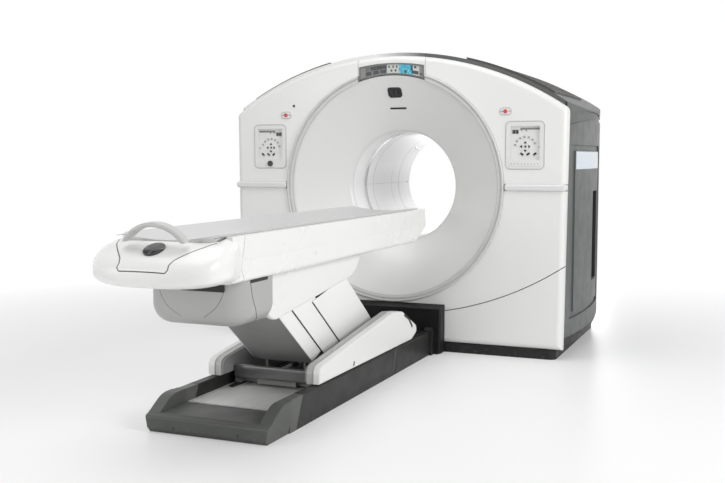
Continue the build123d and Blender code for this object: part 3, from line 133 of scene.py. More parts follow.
class ScannerStage(bpy.types.PropertyGroup):
    """Studio values."""
    sky: FloatProperty(name="Sky", description="Strength of the even studio light",
                       default=0.36, min=0.0, max=2.0)
    key_light: power_property("Key light", "Large soft light at front right", 215.0)
    top_light: power_property("Top light", "Broad light overhead", 105.0)
    front_light: power_property("Front light", "Low soft light at front left", 30.0)
    bore_light: power_property("Bore light", "Soft light behind the gantry, into the bore", 60.0)
    lens: FloatProperty(name="Lens", description="Focal length of the camera",
                        default=49.2, min=10.0, max=200.0, unit="CAMERA")


# Materials

class Finish:
    """A node material under construction, with short helpers for its nodes."""

    def __init__(self, name, colour, roughness, metallic=0.0):
        self.material = bpy.data.materials.new("finish_" + name)
        self.material.use_nodes = True
        self.tree = self.material.node_tree
        self.shader = self.tree.nodes["Principled BSDF"]
        self.shader.inputs["Base Color"].default_value = (*colour, 1.0)
        self.shader.inputs["Roughness"].default_value = roughness
        self.shader.inputs["Metallic"].default_value = metallic
        self.colour = colour
        self.roughness = roughness
        self.place = self.tree.nodes.new("ShaderNodeTexCoord").outputs["Object"]

    @classmethod
    def over(cls, material, colour):
        """Further work on a finish that is there already."""
        made = cls.__new__(cls)
        made.material, made.tree, made.colour = material, material.node_tree, colour
        made.shader = made.tree.nodes["Principled BSDF"]
        made.place = made.tree.nodes.new("ShaderNodeTexCoord").outputs["Object"]
        return made

    def node(self, kind, **values):
        """A new node with its input sockets filled by name."""
        made = self.tree.nodes.new(kind)
        for key, value in values.items():
            self.feed(made.inputs[key.replace("_", " ")], value)
        return made

    def feed(self, socket, value):
        """Link a socket or set its plain value."""
        if isinstance(value, bpy.types.NodeSocket):
            self.tree.links.new(value, socket)
        else:
            socket.default_value = value

    def stretched(self, scale):
        """Object coordinates stretched along the axes."""
        return self.node("ShaderNodeMapping", Vector=self.place, Scale=scale).outputs["Vector"]

    def noise(self, scale, detail=3.0, vector=None):
        """Fractal noise between 0 and 1."""
        return self.node("ShaderNodeTexNoise", Vector=vector or self.place, Scale=scale,
                         Detail=detail).outputs["Fac"]

    def mapped(self, value, low, high, to_low, to_high):
        """A value taken from one range to another."""
        made = self.tree.nodes.new("ShaderNodeMapRange")
        self.feed(made.inputs["Value"], value)
        for key, number in (("From Min", low), ("From Max", high), ("To Min", to_low), ("To Max", to_high)):
            made.inputs[key].default_value = number
        return made.outputs["Result"]

    def mix(self, factor, first, second):
        """Blend of two colours."""
        made = self.tree.nodes.new("ShaderNodeMix")
        made.data_type = "RGBA"
        self.feed(made.inputs["Factor"], factor)
        for key, value in ((6, first), (7, second)):
            self.feed(made.inputs[key], value if isinstance(value, bpy.types.NodeSocket) else (*value, 1.0))
        return made.outputs[2]

    def mottle(self, scale, depth):
        """Slow, faint changes of tone, as between mouldings and spray passes."""
        darker = tuple(c * (1.0 - depth) for c in self.colour)
        tone = self.mapped(self.noise(scale, 4.0), 0.35, 0.65, 0.0, 1.0)
        mixed = self.mix(tone, darker, self.colour)
        self.feed(self.shader.inputs["Base Color"], mixed)
        return mixed

    def sheen_change(self, scale, spread):
        """Uneven polish: the roughness wanders round its mean."""
        rough = self.mapped(self.noise(scale, 3.0), 0.3, 0.7,
                            self.roughness - spread, self.roughness + spread)
        self.feed(self.shader.inputs["Roughness"], rough)

    def axis(self, letter, mirrored=False):
        """One object coordinate, or its distance from the middle plane."""
        value = self.node("ShaderNodeSeparateXYZ", Vector=self.place).outputs[letter]
        return self.maths("ABSOLUTE", value) if mirrored else value

    def maths(self, operation, *values):
        """Result of a maths node over sockets or plain values."""
        made = self.tree.nodes.new("ShaderNodeMath")
        made.operation = operation
        for socket, value in zip(made.inputs, values):
            self.feed(socket, value)
        return made.outputs[0]

    def zone(self, value, edge, blur, colour, below=True):
        """Another colour on one side of an edge value, over what the base colour is so far."""
        socket = self.shader.inputs["Base Color"]
        before = socket.links[0].from_socket if socket.links else self.colour
        ends = (1.0, 0.0) if below else (0.0, 1.0)
        self.feed(socket, self.mix(self.mapped(value, edge - blur, edge + blur, *ends), before, colour))

    def relief(self, height, distance):
        """Fine relief from a height between 0 and 1, as deep as the distance in metres."""
        bump = self.tree.nodes.new("ShaderNodeBump")
        self.feed(bump.inputs["Height"], height)
        bump.inputs["Strength"].default_value = 1.0
        bump.inputs["Distance"].default_value = distance
        self.feed(self.shader.inputs["Normal"], bump.outputs["Normal"])


def scaled(colour, factor):
    """A colour made lighter or darker."""
    return tuple(c * factor for c in colour)


def painted(name, colour, roughness, coat=0.0):
    """Sprayed plastic cover: orange peel, uneven polish and faint tone changes."""
    made = Finish(name, colour, roughness)
    made.mottle(1.1, 0.012)
    made.sheen_change(2.2, 0.025)
    made.relief(made.noise(420.0, 2.0), ORANGE_PEEL)
    made.shader.inputs["Coat Weight"].default_value = coat
    made.shader.inputs["Coat Roughness"].default_value = 0.12
    return made.material


def textured(name, colour, roughness, grain, depth):
    """Moulded plastic with a leather-like grain."""
    made = Finish(name, colour, roughness)
    made.mottle(5.0, 0.10)
    made.sheen_change(11.0, 0.06)
    cells = made.node("ShaderNodeTexVoronoi", Vector=made.place, Scale=grain).outputs["Distance"]
    made.relief(cells, depth)
    return made.material


def scuffed(name, colour, roughness, height):
    """Grained dark plastic, dusty and rubbed near the floor."""
    made = Finish(name, colour, roughness)
    base = made.mottle(4.0, 0.18)
    low = made.mapped(made.axis("Z"), 0.0, height, 0.34, 0.0)
    worn = made.mapped(made.noise(38.0, 6.0), 0.52, 0.74, 0.0, 1.0)
    dusty = tuple(min(1.0, 0.10 + c * 0.9) for c in colour)
    made.feed(made.shader.inputs["Base Color"], made.mix(made.maths("MULTIPLY", low, worn), base, dusty))
    made.sheen_change(9.0, 0.07)
    made.relief(made.noise(900.0, 2.0), 0.00009)
    made.shader.inputs["Specular IOR Level"].default_value = 0.2
    return made.material


def brushed(name, colour, roughness, stretch, metallic=1.0):
    """Brushed metal: long thin streaks in tone, polish and relief."""
    made = Finish(name, colour, roughness, metallic=metallic)
    streaks = made.noise(60.0, 4.0, made.stretched(stretch))
    bright = tuple(min(1.0, c * 1.12) for c in colour)
    made.feed(made.shader.inputs["Base Color"], made.mix(streaks, scaled(colour, 0.78), bright))
    made.feed(made.shader.inputs["Roughness"],
              made.mapped(streaks, 0.3, 0.7, roughness - 0.08, roughness + 0.10))
    made.relief(streaks, 0.00003)
    return made.material


def glossy(name, colour, roughness):
    """Smooth gloss: lenses, badge and key tops, with faint wiping marks."""
    made = Finish(name, colour, roughness)
    smears = made.noise(26.0, 5.0, made.stretched((1.0, 1.0, 0.3)))
    made.feed(made.shader.inputs["Roughness"], made.mapped(smears, 0.4, 0.75, roughness, roughness + 0.10))
    made.relief(made.noise(150.0, 2.0), 0.00001)
    made.shader.inputs["Coat Weight"].default_value = 0.3
    return made.material


def shoe_with_painted_shade(name, colour, band):
    """Sprayed shoe cover; the darker band colour on its inner part is painted shade on its top face."""
    made = Finish(name, colour, 0.3)
    made.mottle(1.3, 0.012)
    # Painted shade: the inner part of the shoe, over its top face, takes the darker band colour
    made.zone(made.axis("X", mirrored=True), SHOE_SHADE_X, 0.0008, band)
    made.sheen_change(6.0, 0.03)
    made.relief(made.noise(420.0, 2.0), 0.000008)
    return made.material


def base_plastic(name, dark, pale, height):
    """Grained dark plastic of the floor base, paler in front of the slanted seam of its end cap."""
    material = scuffed(name, dark, 0.38, height)
    made = Finish.over(material, dark)
    slanted = made.maths("MULTIPLY_ADD", made.axis("Z"), CAP_SEAM_LEAN, made.axis("Y"))
    made.zone(slanted, CAP_SEAM_Y, 0.002, pale)
    return material


def roof_plastic(name, colour, rim):
    """Grained roof; its thin front edge is pale over the left shoulder, where it meets the white cover."""
    material = textured(name, colour, 0.45, 800.0, 0.00006)
    made = Finish.over(material, colour)
    front = made.mapped(made.axis("Y"), 0.066, 0.070, 1.0, 0.0)
    left = made.mapped(made.axis("X"), -0.12, 0.20, 1.0, 0.0)
    socket = made.shader.inputs["Base Color"]
    made.feed(socket, made.mix(made.maths("MULTIPLY", front, left), socket.links[0].from_socket, rim))
    return material


def lit_field(name, colour, spots, glow):
    """A lit screen field with soft brighter spots and fine relief."""
    made = Finish(name, colour, 0.22)
    cells = made.node("ShaderNodeTexVoronoi", Vector=made.place, Scale=85.0).outputs["Distance"]
    tone = made.mix(made.mapped(cells, 0.15, 0.5, 0.0, 1.0), spots, colour)
    made.feed(made.shader.inputs["Base Color"], tone)
    made.feed(made.shader.inputs["Emission Color"], tone)
    made.shader.inputs["Emission Strength"].default_value = glow
    made.relief(made.noise(700.0, 1.0), 0.00001)
    return made.material


def make_finishes(colours):
    """Every finish of the scanner: its name, maker, colour and the maker's other values."""
    white = tuple(colours.cover_white)
    rows = (
        ("cover_white", painted, white, 0.30, 0.25),
        # The shoes' grey second colour is painted shade on their top face
        ("shoe_white", shoe_with_painted_shade, white, (0.46, 0.46, 0.455)),
        ("handle_grey", painted, (0.52, 0.52, 0.51), 0.3, 0.3),
        ("line_dark", painted, (0.10, 0.10, 0.10), 0.5),
        ("plate_blue", painted, (0.66, 0.73, 0.80), 0.25, 0.3),
        ("bar_grey", painted, (0.085, 0.085, 0.085), 0.3, 0.4),
        ("frame_grey", textured, (0.26, 0.26, 0.26), 0.45, 700.0, 0.00005),
        # Near-black for screws, seams and slots, and also painted shade in slots, gaps and recesses
        ("under_dark", textured, (0.018, 0.018, 0.018), 0.6, 700.0, 0.00005),
        ("table_white", painted, scaled(white, 1.08), 0.28, 0.2),
        ("dish_satin", painted, colours.dish_grey, 0.33, 0.15),
        ("rim_satin", painted, colours.rim_grey, 0.28, 0.3),
        ("bore_white", painted, colours.bore_white, 0.34),
        ("side_grey", textured, colours.side_grey, 0.42, 900.0, 0.00006),
        ("roof_grey", roof_plastic, scaled(colours.side_grey, 0.9), white),
        ("vent_brown", textured, colours.vent_brown, 0.62, 700.0, 0.00008),
        ("base_charcoal", scuffed, colours.base_charcoal, 0.40, 0.09),
        ("docking_black", scuffed, (0.010, 0.010, 0.010), 0.45, 0.06),
        ("cradle_grey", painted, (0.60, 0.60, 0.60), 0.36),
        ("base_split", base_plastic, colours.base_charcoal, tuple(colours.cap_grey), 0.09),
        ("cap_grey", scuffed, colours.cap_grey, 0.42, 0.07),
        ("floor_steel", brushed, colours.floor_steel, 0.36, (1.0, 0.02, 1.0), 0.25),
        ("bright_steel", brushed, (0.62, 0.62, 0.62), 0.2, (1.0, 0.05, 1.0)),
        ("rail_silver", painted, (0.72, 0.72, 0.72), 0.22, 0.4),
        ("column_grey", textured, colours.column_grey, 0.42, 1100.0, 0.00005),
        ("sheet_white", painted, scaled(white, 1.12), 0.34),
        ("belly_grey", painted, colours.belly_grey, 0.36),
        ("panel_silver", painted, colours.panel_silver, 0.30),
        ("mark_grey", painted, (0.23, 0.23, 0.22), 0.40),
        ("line_grey", painted, (0.42, 0.42, 0.41), 0.40),
        ("key_grey", textured, (0.38, 0.38, 0.37), 0.40, 1500.0, 0.00002),
        ("key_black", glossy, colours.key_black, 0.16),
        ("glass_black", glossy, (0.008, 0.008, 0.009), 0.06),
        ("stop_red", glossy, colours.stop_red, 0.2),
        ("screen_grey", lit_field, (0.10, 0.11, 0.11), (0.16, 0.17, 0.17), 0.1),
        ("screen_dark", lit_field, (0.012, 0.015, 0.015), (0.05, 0.06, 0.06), 0.05),
        ("screen_light", lit_field, (0.46, 0.47, 0.44), (0.5, 0.51, 0.48), 0.1),
        ("screen_cyan", lit_field, colours.screen_cyan, (0.12, 0.52, 0.66), 0.35),
        ("lens_clear", painted, (0.55, 0.56, 0.57), 0.12, 0.5),
        ("steel_dark", textured, (0.12, 0.12, 0.125), 0.45, 600.0, 0.00006),
    )
    return {name: maker(name, tuple(colour), *values) for name, maker, colour, *values in rows}


NODE_FINISHES = {
    "cover_white": ("front_cover_bridge", "front_cover_upper_left", "front_cover_upper_right",
                    "front_cover_side_left", "front_cover_side_right", "front_cover_lower"),
    "handle_grey": ("arch_handle",),
    "table_white": ("table_beam", "end_cover", "shoulder_cover_left", "shoulder_cover_right"),
    "shoe_white": ("shoe_cover_left", "shoe_cover_right"),
    "base_split": ("base_frame",),
    "frame_grey": ("pedestal_frame",),
    "dish_satin": ("dish_cover",),
    "rim_satin": ("dish_rim",),
    "bore_white": ("bore_liner_front", "bore_liner_rear"),
    "lens_clear": ("scan_window",),
    "rail_silver": ("grab_rail_left", "grab_rail_right"),
    "panel_silver": ("control_panel_left", "control_panel_right"),
    "stop_red": ("emergency_stop_left", "emergency_stop_right"),
    "glass_black": ("alignment_window",),
    "screen_grey": ("display_panel",),
    "side_grey": ("side_cover_left", "side_cover_right", "side_door_left", "side_door_right", "rear_cover"),
    "roof_grey": ("top_cover",),
    "vent_brown": ("top_vent_left", "top_vent_right"),
    "base_charcoal": ("gantry_plinth",),
    "docking_black": ("docking_bridge",),
    "cradle_grey": ("cradle",),
    "cap_grey": ("base_end_cap",),
    "floor_steel": ("base_plate",),
    "column_grey": ("column_front_panel",),
    "sheet_white": ("column_sheet_front_left", "column_sheet_front_right", "column_sheet_middle_left",
                    "column_sheet_middle_right", "column_rear_cover"),
    "belly_grey": ("belly_cover",),
    "steel_dark": ("gantry_frame", "front_arm", "rear_arm", "carriage_frame", "rotor_drum",
                   "pet_detector_ring", "drive_motor", "hv_generator"),
    "bright_steel": ("xray_tube", "detector_arc", "drive_pulley"),
}


# Surfaces, worked out as arrays

def grid_faces(rows, columns, wrap_rows=False, wrap_columns=False):
    """Quads between neighbouring points of a grid; a wrapped grid joins its last line to its first."""
    r = np.arange(rows if wrap_rows else rows - 1)[:, None]
    c = np.arange(columns if wrap_columns else columns - 1)[None, :]
    r1, c1 = (r + 1) % rows, (c + 1) % columns
    quads = np.stack([r * columns + c, r * columns + c1, r1 * columns + c1, r1 * columns + c], axis=-1)
    return quads.reshape(-1, 4).tolist()


def fan(first, count, middle, flip):
    """Triangles that close a ring of points on a middle point."""
    a = first + np.arange(count)
    b = first + (np.arange(count) + 1) % count
    m = np.full(count, middle)
    return np.stack([b, a, m] if flip else [a, b, m], axis=-1).tolist()


def rounded_shape(centres, facing, radius, steps):
    """Closed loop of k round corners: corner centre plus radius times (cos a, sin a), with a within
    180/k degrees of the corner's facing.

    Returns the corner centres of all points, their outward directions and the radius, so the loop at an
    inset d is centre plus (radius - d) times direction."""
    centres = np.asarray(centres, float)
    spread = math.pi / len(centres)
    angle = np.radians(np.asarray(facing, float))[:, None] + np.linspace(-spread, spread, steps)[None, :]
    direction = np.stack([np.cos(angle), np.sin(angle)], axis=-1).reshape(-1, 2)
    return np.repeat(centres, steps, axis=0), direction, radius


def rectangle(width, height, radius, steps=8):
    """Rounded rectangle; a disc or a slot when the radius is half its height."""
    x, y = width / 2 - radius, height / 2 - radius
    return rounded_shape([(x, -y), (x, y), (-x, y), (-x, -y)], [-45, 45, 135, 225], radius, steps)


def disc(radius, steps=8):
    """Circle, as a rectangle that is all corner."""
    return rectangle(2 * radius, 2 * radius, radius, steps)


def arrow(size, facing, radius=0.0022, steps=5):
    """Rounded triangle pointing along its facing angle."""
    angles = facing + np.array([0.0, 120.0, 240.0])
    turned = np.radians(angles)
    reach = np.array([size * 0.8, size * 1.15, size * 1.15]) - radius
    centres = np.stack([np.cos(turned), np.sin(turned)], axis=-1) * reach[:, None]
    return rounded_shape(centres, angles, radius, steps)


def on_front(x, z, y=FRONT_FACE, turn=0.0):
    """A place on a surface that faces the foot end: origin, right and up."""
    a = math.radians(turn)
    return (np.array([x, y, z]), np.array([math.cos(a), 0.0, math.sin(a)]),
            np.array([-math.sin(a), 0.0, math.cos(a)]))


def on_side(y, z, x, turn=0.0):
    """A place on a surface that faces the right: origin, right and up."""
    a = math.radians(turn)
    return (np.array([x, y, z]), np.array([0.0, math.cos(a), math.sin(a)]),
            np.array([0.0, -math.sin(a), math.cos(a)]))


def on_flat(x, y, z):
    """A place on a surface that faces up: origin, right and up."""
    return np.array([x, y, z]), np.array([1.0, 0.0, 0.0]), np.array([0.0, 1.0, 0.0])


def on_arm(foot_y, along, across, x):
    """A place beside an arm: along it from its foot, and across it, upwards and back."""
    c, s = math.cos(LIFT_ANGLE), math.sin(LIFT_ANGLE)
    origin = np.array([x, foot_y - along * c + across * s, ARM_FOOT_Z + along * s + across * c])
    return origin, np.array([0.0, c, -s]), np.array([0.0, s, c])


def on_dish(x, radius):
    """A place on the cone over the bore: its depth falls evenly from lip to rim."""
    slope = math.atan2(DISH_FALL, DISH_WIDTH)
    origin = np.array([x, DISH_RIM_Y + (DISH_RIM_RADIUS - radius) * math.tan(slope), ISO_Z + radius])
    return origin, np.array([1.0, 0.0, 0.0]), np.array([0.0, -math.sin(slope), math.cos(slope)])


def skins(*things):
    """Search trees over the meshes of nodes, by name, and of pieces."""
    trees = []
    for thing in things:
        mesh = (NODES[thing] if isinstance(thing, str) else thing).data
        trees.append(BVHTree.FromPolygons([v.co for v in mesh.vertices],
                                          [tuple(p.vertices) for p in mesh.polygons]))
    return trees


def cast(trees, starts, aim):
    """Points and outward normals where rays from the starts first meet the skins."""
    points, normals = [], []
    for start in starts:
        hits = [tree.ray_cast(Vector(start), Vector(aim)) for tree in trees]
        near = min((h for h in hits if h[0] is not None), key=lambda h: h[3])
        points.append(near[0])
        normals.append(near[1])
    return np.array(points), np.array(normals)


def curve_through(corners, count):
    """Catmull-Rom curve through the corners: each span blends its four nearest corners by cubic weights."""
    c = np.asarray(corners, float)
    c = np.vstack([2 * c[0] - c[1], c, 2 * c[-1] - c[-2]])
    t = np.linspace(0.0, len(c) - 3 - 1e-9, count)
    k = t.astype(int)
    u = (t - k)[:, None]
    a, b, d, e = c[k], c[k + 1], c[k + 2], c[k + 3]
    return 0.5 * (2 * b + (d - a) * u + (2 * a - 5 * b + 4 * d - e) * u ** 2
                  + (3 * b - a - 3 * d + e) * u ** 3)


def straight_through(corners, step=0.012):
    """Points spaced evenly on the straight lines between corners."""
    c = np.asarray(corners, float)
    reach = np.concatenate([[0.0], np.cumsum(np.linalg.norm(np.diff(c, axis=0), axis=1))])
    t = np.linspace(0.0, reach[-1], max(2, int(reach[-1] / step) + 1))
    return np.stack([np.interp(t, reach, c[:, i]) for i in range(3)], axis=-1)


def bead(points, normals, width, height, closed=False):
    """Low round bead along a path: path + side * width / 2 * cos a + normal * height * sin a, a all round."""
    tangent = np.gradient(points, axis=0)
    if closed:
        tangent = np.roll(points, -1, axis=0) - np.roll(points, 1, axis=0)
    side = np.cross(normals, tangent)
    side /= np.linalg.norm(side, axis=1, keepdims=True)
    a = np.linspace(0.0, 2 * math.pi, 9)[:-1]
    loop = (points[:, None] + side[:, None] * (width / 2 * np.cos(a))[None, :, None]
            + normals[:, None] * (height * np.sin(a))[None, :, None])
    rows, count = len(points), len(a)
    faces = grid_faces(rows, count, wrap_rows=closed, wrap_columns=True)
    flat = loop.reshape(-1, 3)
    if not closed:
        faces += fan(0, count, len(flat), flip=True)
        faces += fan((rows - 1) * count, count, len(flat) + 1, flip=False)
        flat = np.vstack([flat, points[[0, -1]]])
    return flat, faces


def drawn(trees, path, aim, width, height):
    """Bead where a path, cast along the aim, meets the skins."""
    return bead(*cast(trees, path, aim), width, height)


def skin_patch(trees, start, across, up, aim, size, lift, steps):
    """Thin curved slab laid on a skin: a grid of rays, lifted along the aim, with its back just inside."""
    u = np.linspace(-0.5, 0.5, steps[0])[:, None, None] * size[0] * np.asarray(across)
    v = np.linspace(-0.5, 0.5, steps[1])[None, :, None] * size[1] * np.asarray(up)
    starts = (np.asarray(start) + u + v).reshape(-1, 3)
    points, _ = cast(trees, starts, aim)
    out = points - lift * np.asarray(aim)
    back = points + 0.001 * np.asarray(aim)
    rows, columns = steps
    front = grid_faces(rows, columns)
    edge = np.concatenate([np.arange(columns), columns * np.arange(1, rows) + columns - 1,
                           (rows - 1) * columns + np.arange(columns - 2, -1, -1),
                           columns * np.arange(rows - 2, 0, -1)])
    shift = rows * columns
    rim = np.stack([edge, np.roll(edge, -1), np.roll(edge, -1) + shift, edge + shift], axis=-1).tolist()
    return np.vstack([out, back]), front + [[i + shift for i in face[::-1]] for face in front] + rim


def mirrored(surface):
    """The same surface on the left side."""
    points, faces = surface
    return points * np.array([-1.0, 1.0, 1.0]), faces


def both_sides(surface):
    """A surface and its mirror image as one."""
    return joined([surface, mirrored(surface)])


def plate(place, shape, levels, ring=False):
    """Stack of inset loops over a place: origin + right * u + up * v + normal * height.

    Each level is (inset, height). A ring joins its last level to its first; else both ends are closed."""
    origin, right, up = place
    normal = np.cross(right, up)
    centres, direction, radius = shape
    levels = np.asarray(levels, float)
    flat = centres[None] + direction[None] * (radius - levels[:, 0])[:, None, None]
    points = (origin + flat[..., :1] * right + flat[..., 1:] * up + levels[:, 1][:, None, None] * normal)
    rows, count = len(levels), len(centres)
    faces = grid_faces(rows, count, wrap_rows=ring, wrap_columns=True)
    points = points.reshape(-1, 3)
    if not ring:
        middle = centres.mean(axis=0)
        ends = [origin + middle[0] * right + middle[1] * up + h * normal for h in levels[[0, -1], 1]]
        faces += fan(0, count, len(points), flip=True)
        faces += fan((rows - 1) * count, count, len(points) + 1, flip=False)
        points = np.vstack([points, ends])
    return points, faces


def pad_levels(height, edge=0.0006, sunk=0.0008):
    """Levels of a thin raised pad with a rounded edge."""
    return [(0.0, -sunk), (0.0, height - edge), (edge * 0.3, height - edge * 0.3), (edge, height)]


def ring_levels(width, height, sunk=0.0008):
    """Levels of a raised rim with a round back, as wide as given."""
    a = np.linspace(0.0, math.pi, 7)
    return [(0.0, -sunk)] + [(width / 2 - math.cos(t) * width / 2, math.sin(t) * height) for t in a] + [
        (width, -sunk)]


def joined(parts):
    """Several (points, faces) as one."""
    points, faces, start = [], [], 0
    for p, f in parts:
        points.append(p)
        faces += [[i + start for i in face] for face in f]
        start += len(p)
    return np.vstack(points), faces


def face_outwards(mesh):
    """Turn every face of the closed shells outwards."""
    shell = bmesh.new()
    shell.from_mesh(mesh)
    bmesh.ops.recalc_face_normals(shell, faces=shell.faces)
    shell.to_mesh(mesh)
    shell.free()
    mesh.update()


def build(name, surface, material, body):
    """A finished piece: the mesh of a surface with its material, riding on a body."""
    points, faces = surface
    mesh = bpy.data.meshes.new(name)
    mesh.from_pydata(points.tolist(), [], faces)
    face_outwards(mesh)
    mesh.shade_smooth()
    mesh.set_sharp_from_angle(angle=SHARP_ANGLE)
    mesh.materials.append(bpy.data.materials["finish_" + material])
    piece = bpy.data.objects.new(name, mesh)
    bpy.context.scene.collection.objects.link(piece)
    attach(piece, body)
    return piece


def band(lower, upper, y, thickness, u0, u1, v0, v1, columns=24):
    """Thin curved slab between two height functions of x: z = lower + v (upper - lower), x from u0 to u1.

    Front and back sheets share one closed grid of four rows, wrapped."""
    x = np.linspace(u0, u1, columns)
    low = lower(x) + v0 * (upper(x) - lower(x))
    high = lower(x) + v1 * (upper(x) - lower(x))
    rows = [(low, y + thickness), (low, y), (high, y), (high, y + thickness)]
    points = np.stack([np.stack([x, np.full_like(x, depth), z], axis=-1) for z, depth in rows])
    faces = grid_faces(4, columns, wrap_rows=True)
    faces += [[0, columns, 2 * columns, 3 * columns],
              [4 * columns - 1, 3 * columns - 1, 2 * columns - 1, columns - 1]]
    return points.reshape(-1, 3), faces


# Operators

class SCANNER_OT_finishes(bpy.types.Operator):
    """Give every CAD node its procedural finish"""
    bl_idname = "scanner.finishes"
    bl_label = "Finishes"

    def execute(self, context):
        made = make_finishes(context.scene.scanner_colours)
        for finish, nodes in NODE_FINISHES.items():
            for name in nodes:
                slots = NODES[name].data.materials
                slots.clear()
                slots.append(made[finish])
        bare = [n for n, o in NODES.items() if not o.data.materials
                or not o.data.materials[0].name.startswith("finish_")]
        if bare:
            raise RuntimeError(f"no finish for {bare}")
        return {"FINISHED"}


class SCANNER_OT_operator_panels(bpy.types.Operator):
    """Outline, keys, arrows, marks, a strip of painted shade in each recess and fittings of both operator
    panels
    """
    bl_idname = "scanner.operator_panels"
    bl_label = "Operator panels"

    def execute(self, context):
        sizes = context.scene.scanner_sizes
        for side, word in SIDES:
            x0, z0 = side * PANEL_X, PANEL_Z - 0.008

            def spot(u, v, y=KEY_FACE, turn=0.0):
                return on_front(x0 + side * u, z0 + v, y, side * turn)

            outline = plate(on_front(x0, PANEL_Z, PLATE_FACE),
                            rectangle(0.2352, 0.2862, 0.029, sizes.corner_steps),
                            ring_levels(0.0042, 0.0010), ring=True)
            build(f"panel_outline_{word}", outline, "line_grey", "gantry")
            angles = np.radians(20.0 + 25.0 * np.arange(7))
            keys = [plate(spot(0.062 * math.cos(a), 0.058 * math.sin(a)), disc(sizes.key_radius),
                          pad_levels(0.0015)) for a in angles]
            build(f"panel_round_keys_{word}", joined(keys), "key_grey", "gantry")
            reach = sizes.arrow_reach
            arrows = [plate(spot(reach * math.cos(math.radians(t)), reach * math.sin(math.radians(t))),
                            arrow(0.0088, t if side > 0 else 180.0 - t), pad_levels(0.0016))
                      for t in (0.0, 90.0, 180.0, 270.0)]
            arrows.append(plate(spot(0.0, 0.0, FIELD_FACE), disc(0.0062), pad_levels(0.003)))
            lower = [plate(spot(u, -0.044, KEY_FACE, turn), rectangle(0.024, 0.0125, 0.0058),
                           pad_levels(0.0016))
                     for u, turn in ((-0.020, -35.0), (0.018, 35.0), (0.058, 38.0))]
            build(f"panel_arrow_keys_{word}", joined(arrows + lower), "key_black", "gantry")
            build(f"panel_pad_ring_{word}",
                  plate(spot(0.0, 0.0), disc(0.0165, 10), ring_levels(0.0032, 0.0014), ring=True),
                  "cover_white", "gantry")
            lens = [plate(spot(-0.060 + du, 0.088), rectangle(0.0185, 0.0225, 0.002), pad_levels(0.0012))
                    for du in (-0.0098, 0.0098)]
            build(f"panel_lens_{word}", joined(lens), "key_black", "gantry")
            marks = [plate(spot(u, v, FIELD_FACE, turn), rectangle(w, 0.0055, 0.0024, 4),
                           pad_levels(0.0007, 0.0003))
                     for u, v, w, turn in ((-0.028, 0.101, 0.018, 20.0), (-0.022, 0.095, 0.011, -55.0),
                                           (0.001, 0.100, 0.017, -25.0), (0.006, 0.094, 0.010, 60.0),
                                           (0.083, -0.002, 0.012, 40.0))]
            # Painted shade: a grey strip near the top of the sunk field stands for the shade cast by the
            # recess's upper wall
            marks.append(plate(spot(0.028, 0.106, FIELD_FACE), rectangle(0.118, 0.012, 0.003, 4),
                               pad_levels(0.0006, 0.0003)))
            build(f"panel_marks_{word}", joined(marks), "mark_grey", "gantry")
        knob = plate(on_front(-PANEL_X, PANEL_Z - 0.112, PLATE_FACE), disc(0.0185, 10),
                     [(0.0, -0.001), (0.0, 0.006), (0.001, 0.0085), (0.003, 0.0095), (0.006, 0.0095),
                      (0.0075, 0.008), (0.011, 0.0075)])
        build("panel_knob_left", knob, "key_black", "gantry")
        strip = plate(on_front(PANEL_X, PANEL_Z - 0.109, PLATE_FACE), rectangle(0.196, 0.036, 0.008),
                      pad_levels(0.0012))
        build("panel_key_strip_right", strip, "panel_silver", "gantry")
        pitch, strip_face = 0.020, PLATE_FACE - 0.0012
        studs = [plate(on_front(PANEL_X - 0.080 + pitch * i, PANEL_Z - 0.1095, strip_face),
                       disc(0.0034, 5), pad_levels(0.0009, 0.0004)) for i in range(9)]
        studs += [plate(on_front(PANEL_X - 0.090 + pitch * i, z, strip_face), disc(0.0014, 4),
                        pad_levels(0.0007, 0.0003))
                  for i in range(10) for z in (PANEL_Z - 0.095, PANEL_Z - 0.123)]
        build("panel_strip_studs_right", joined(studs), "key_grey", "gantry")
        return {"FINISHED"}


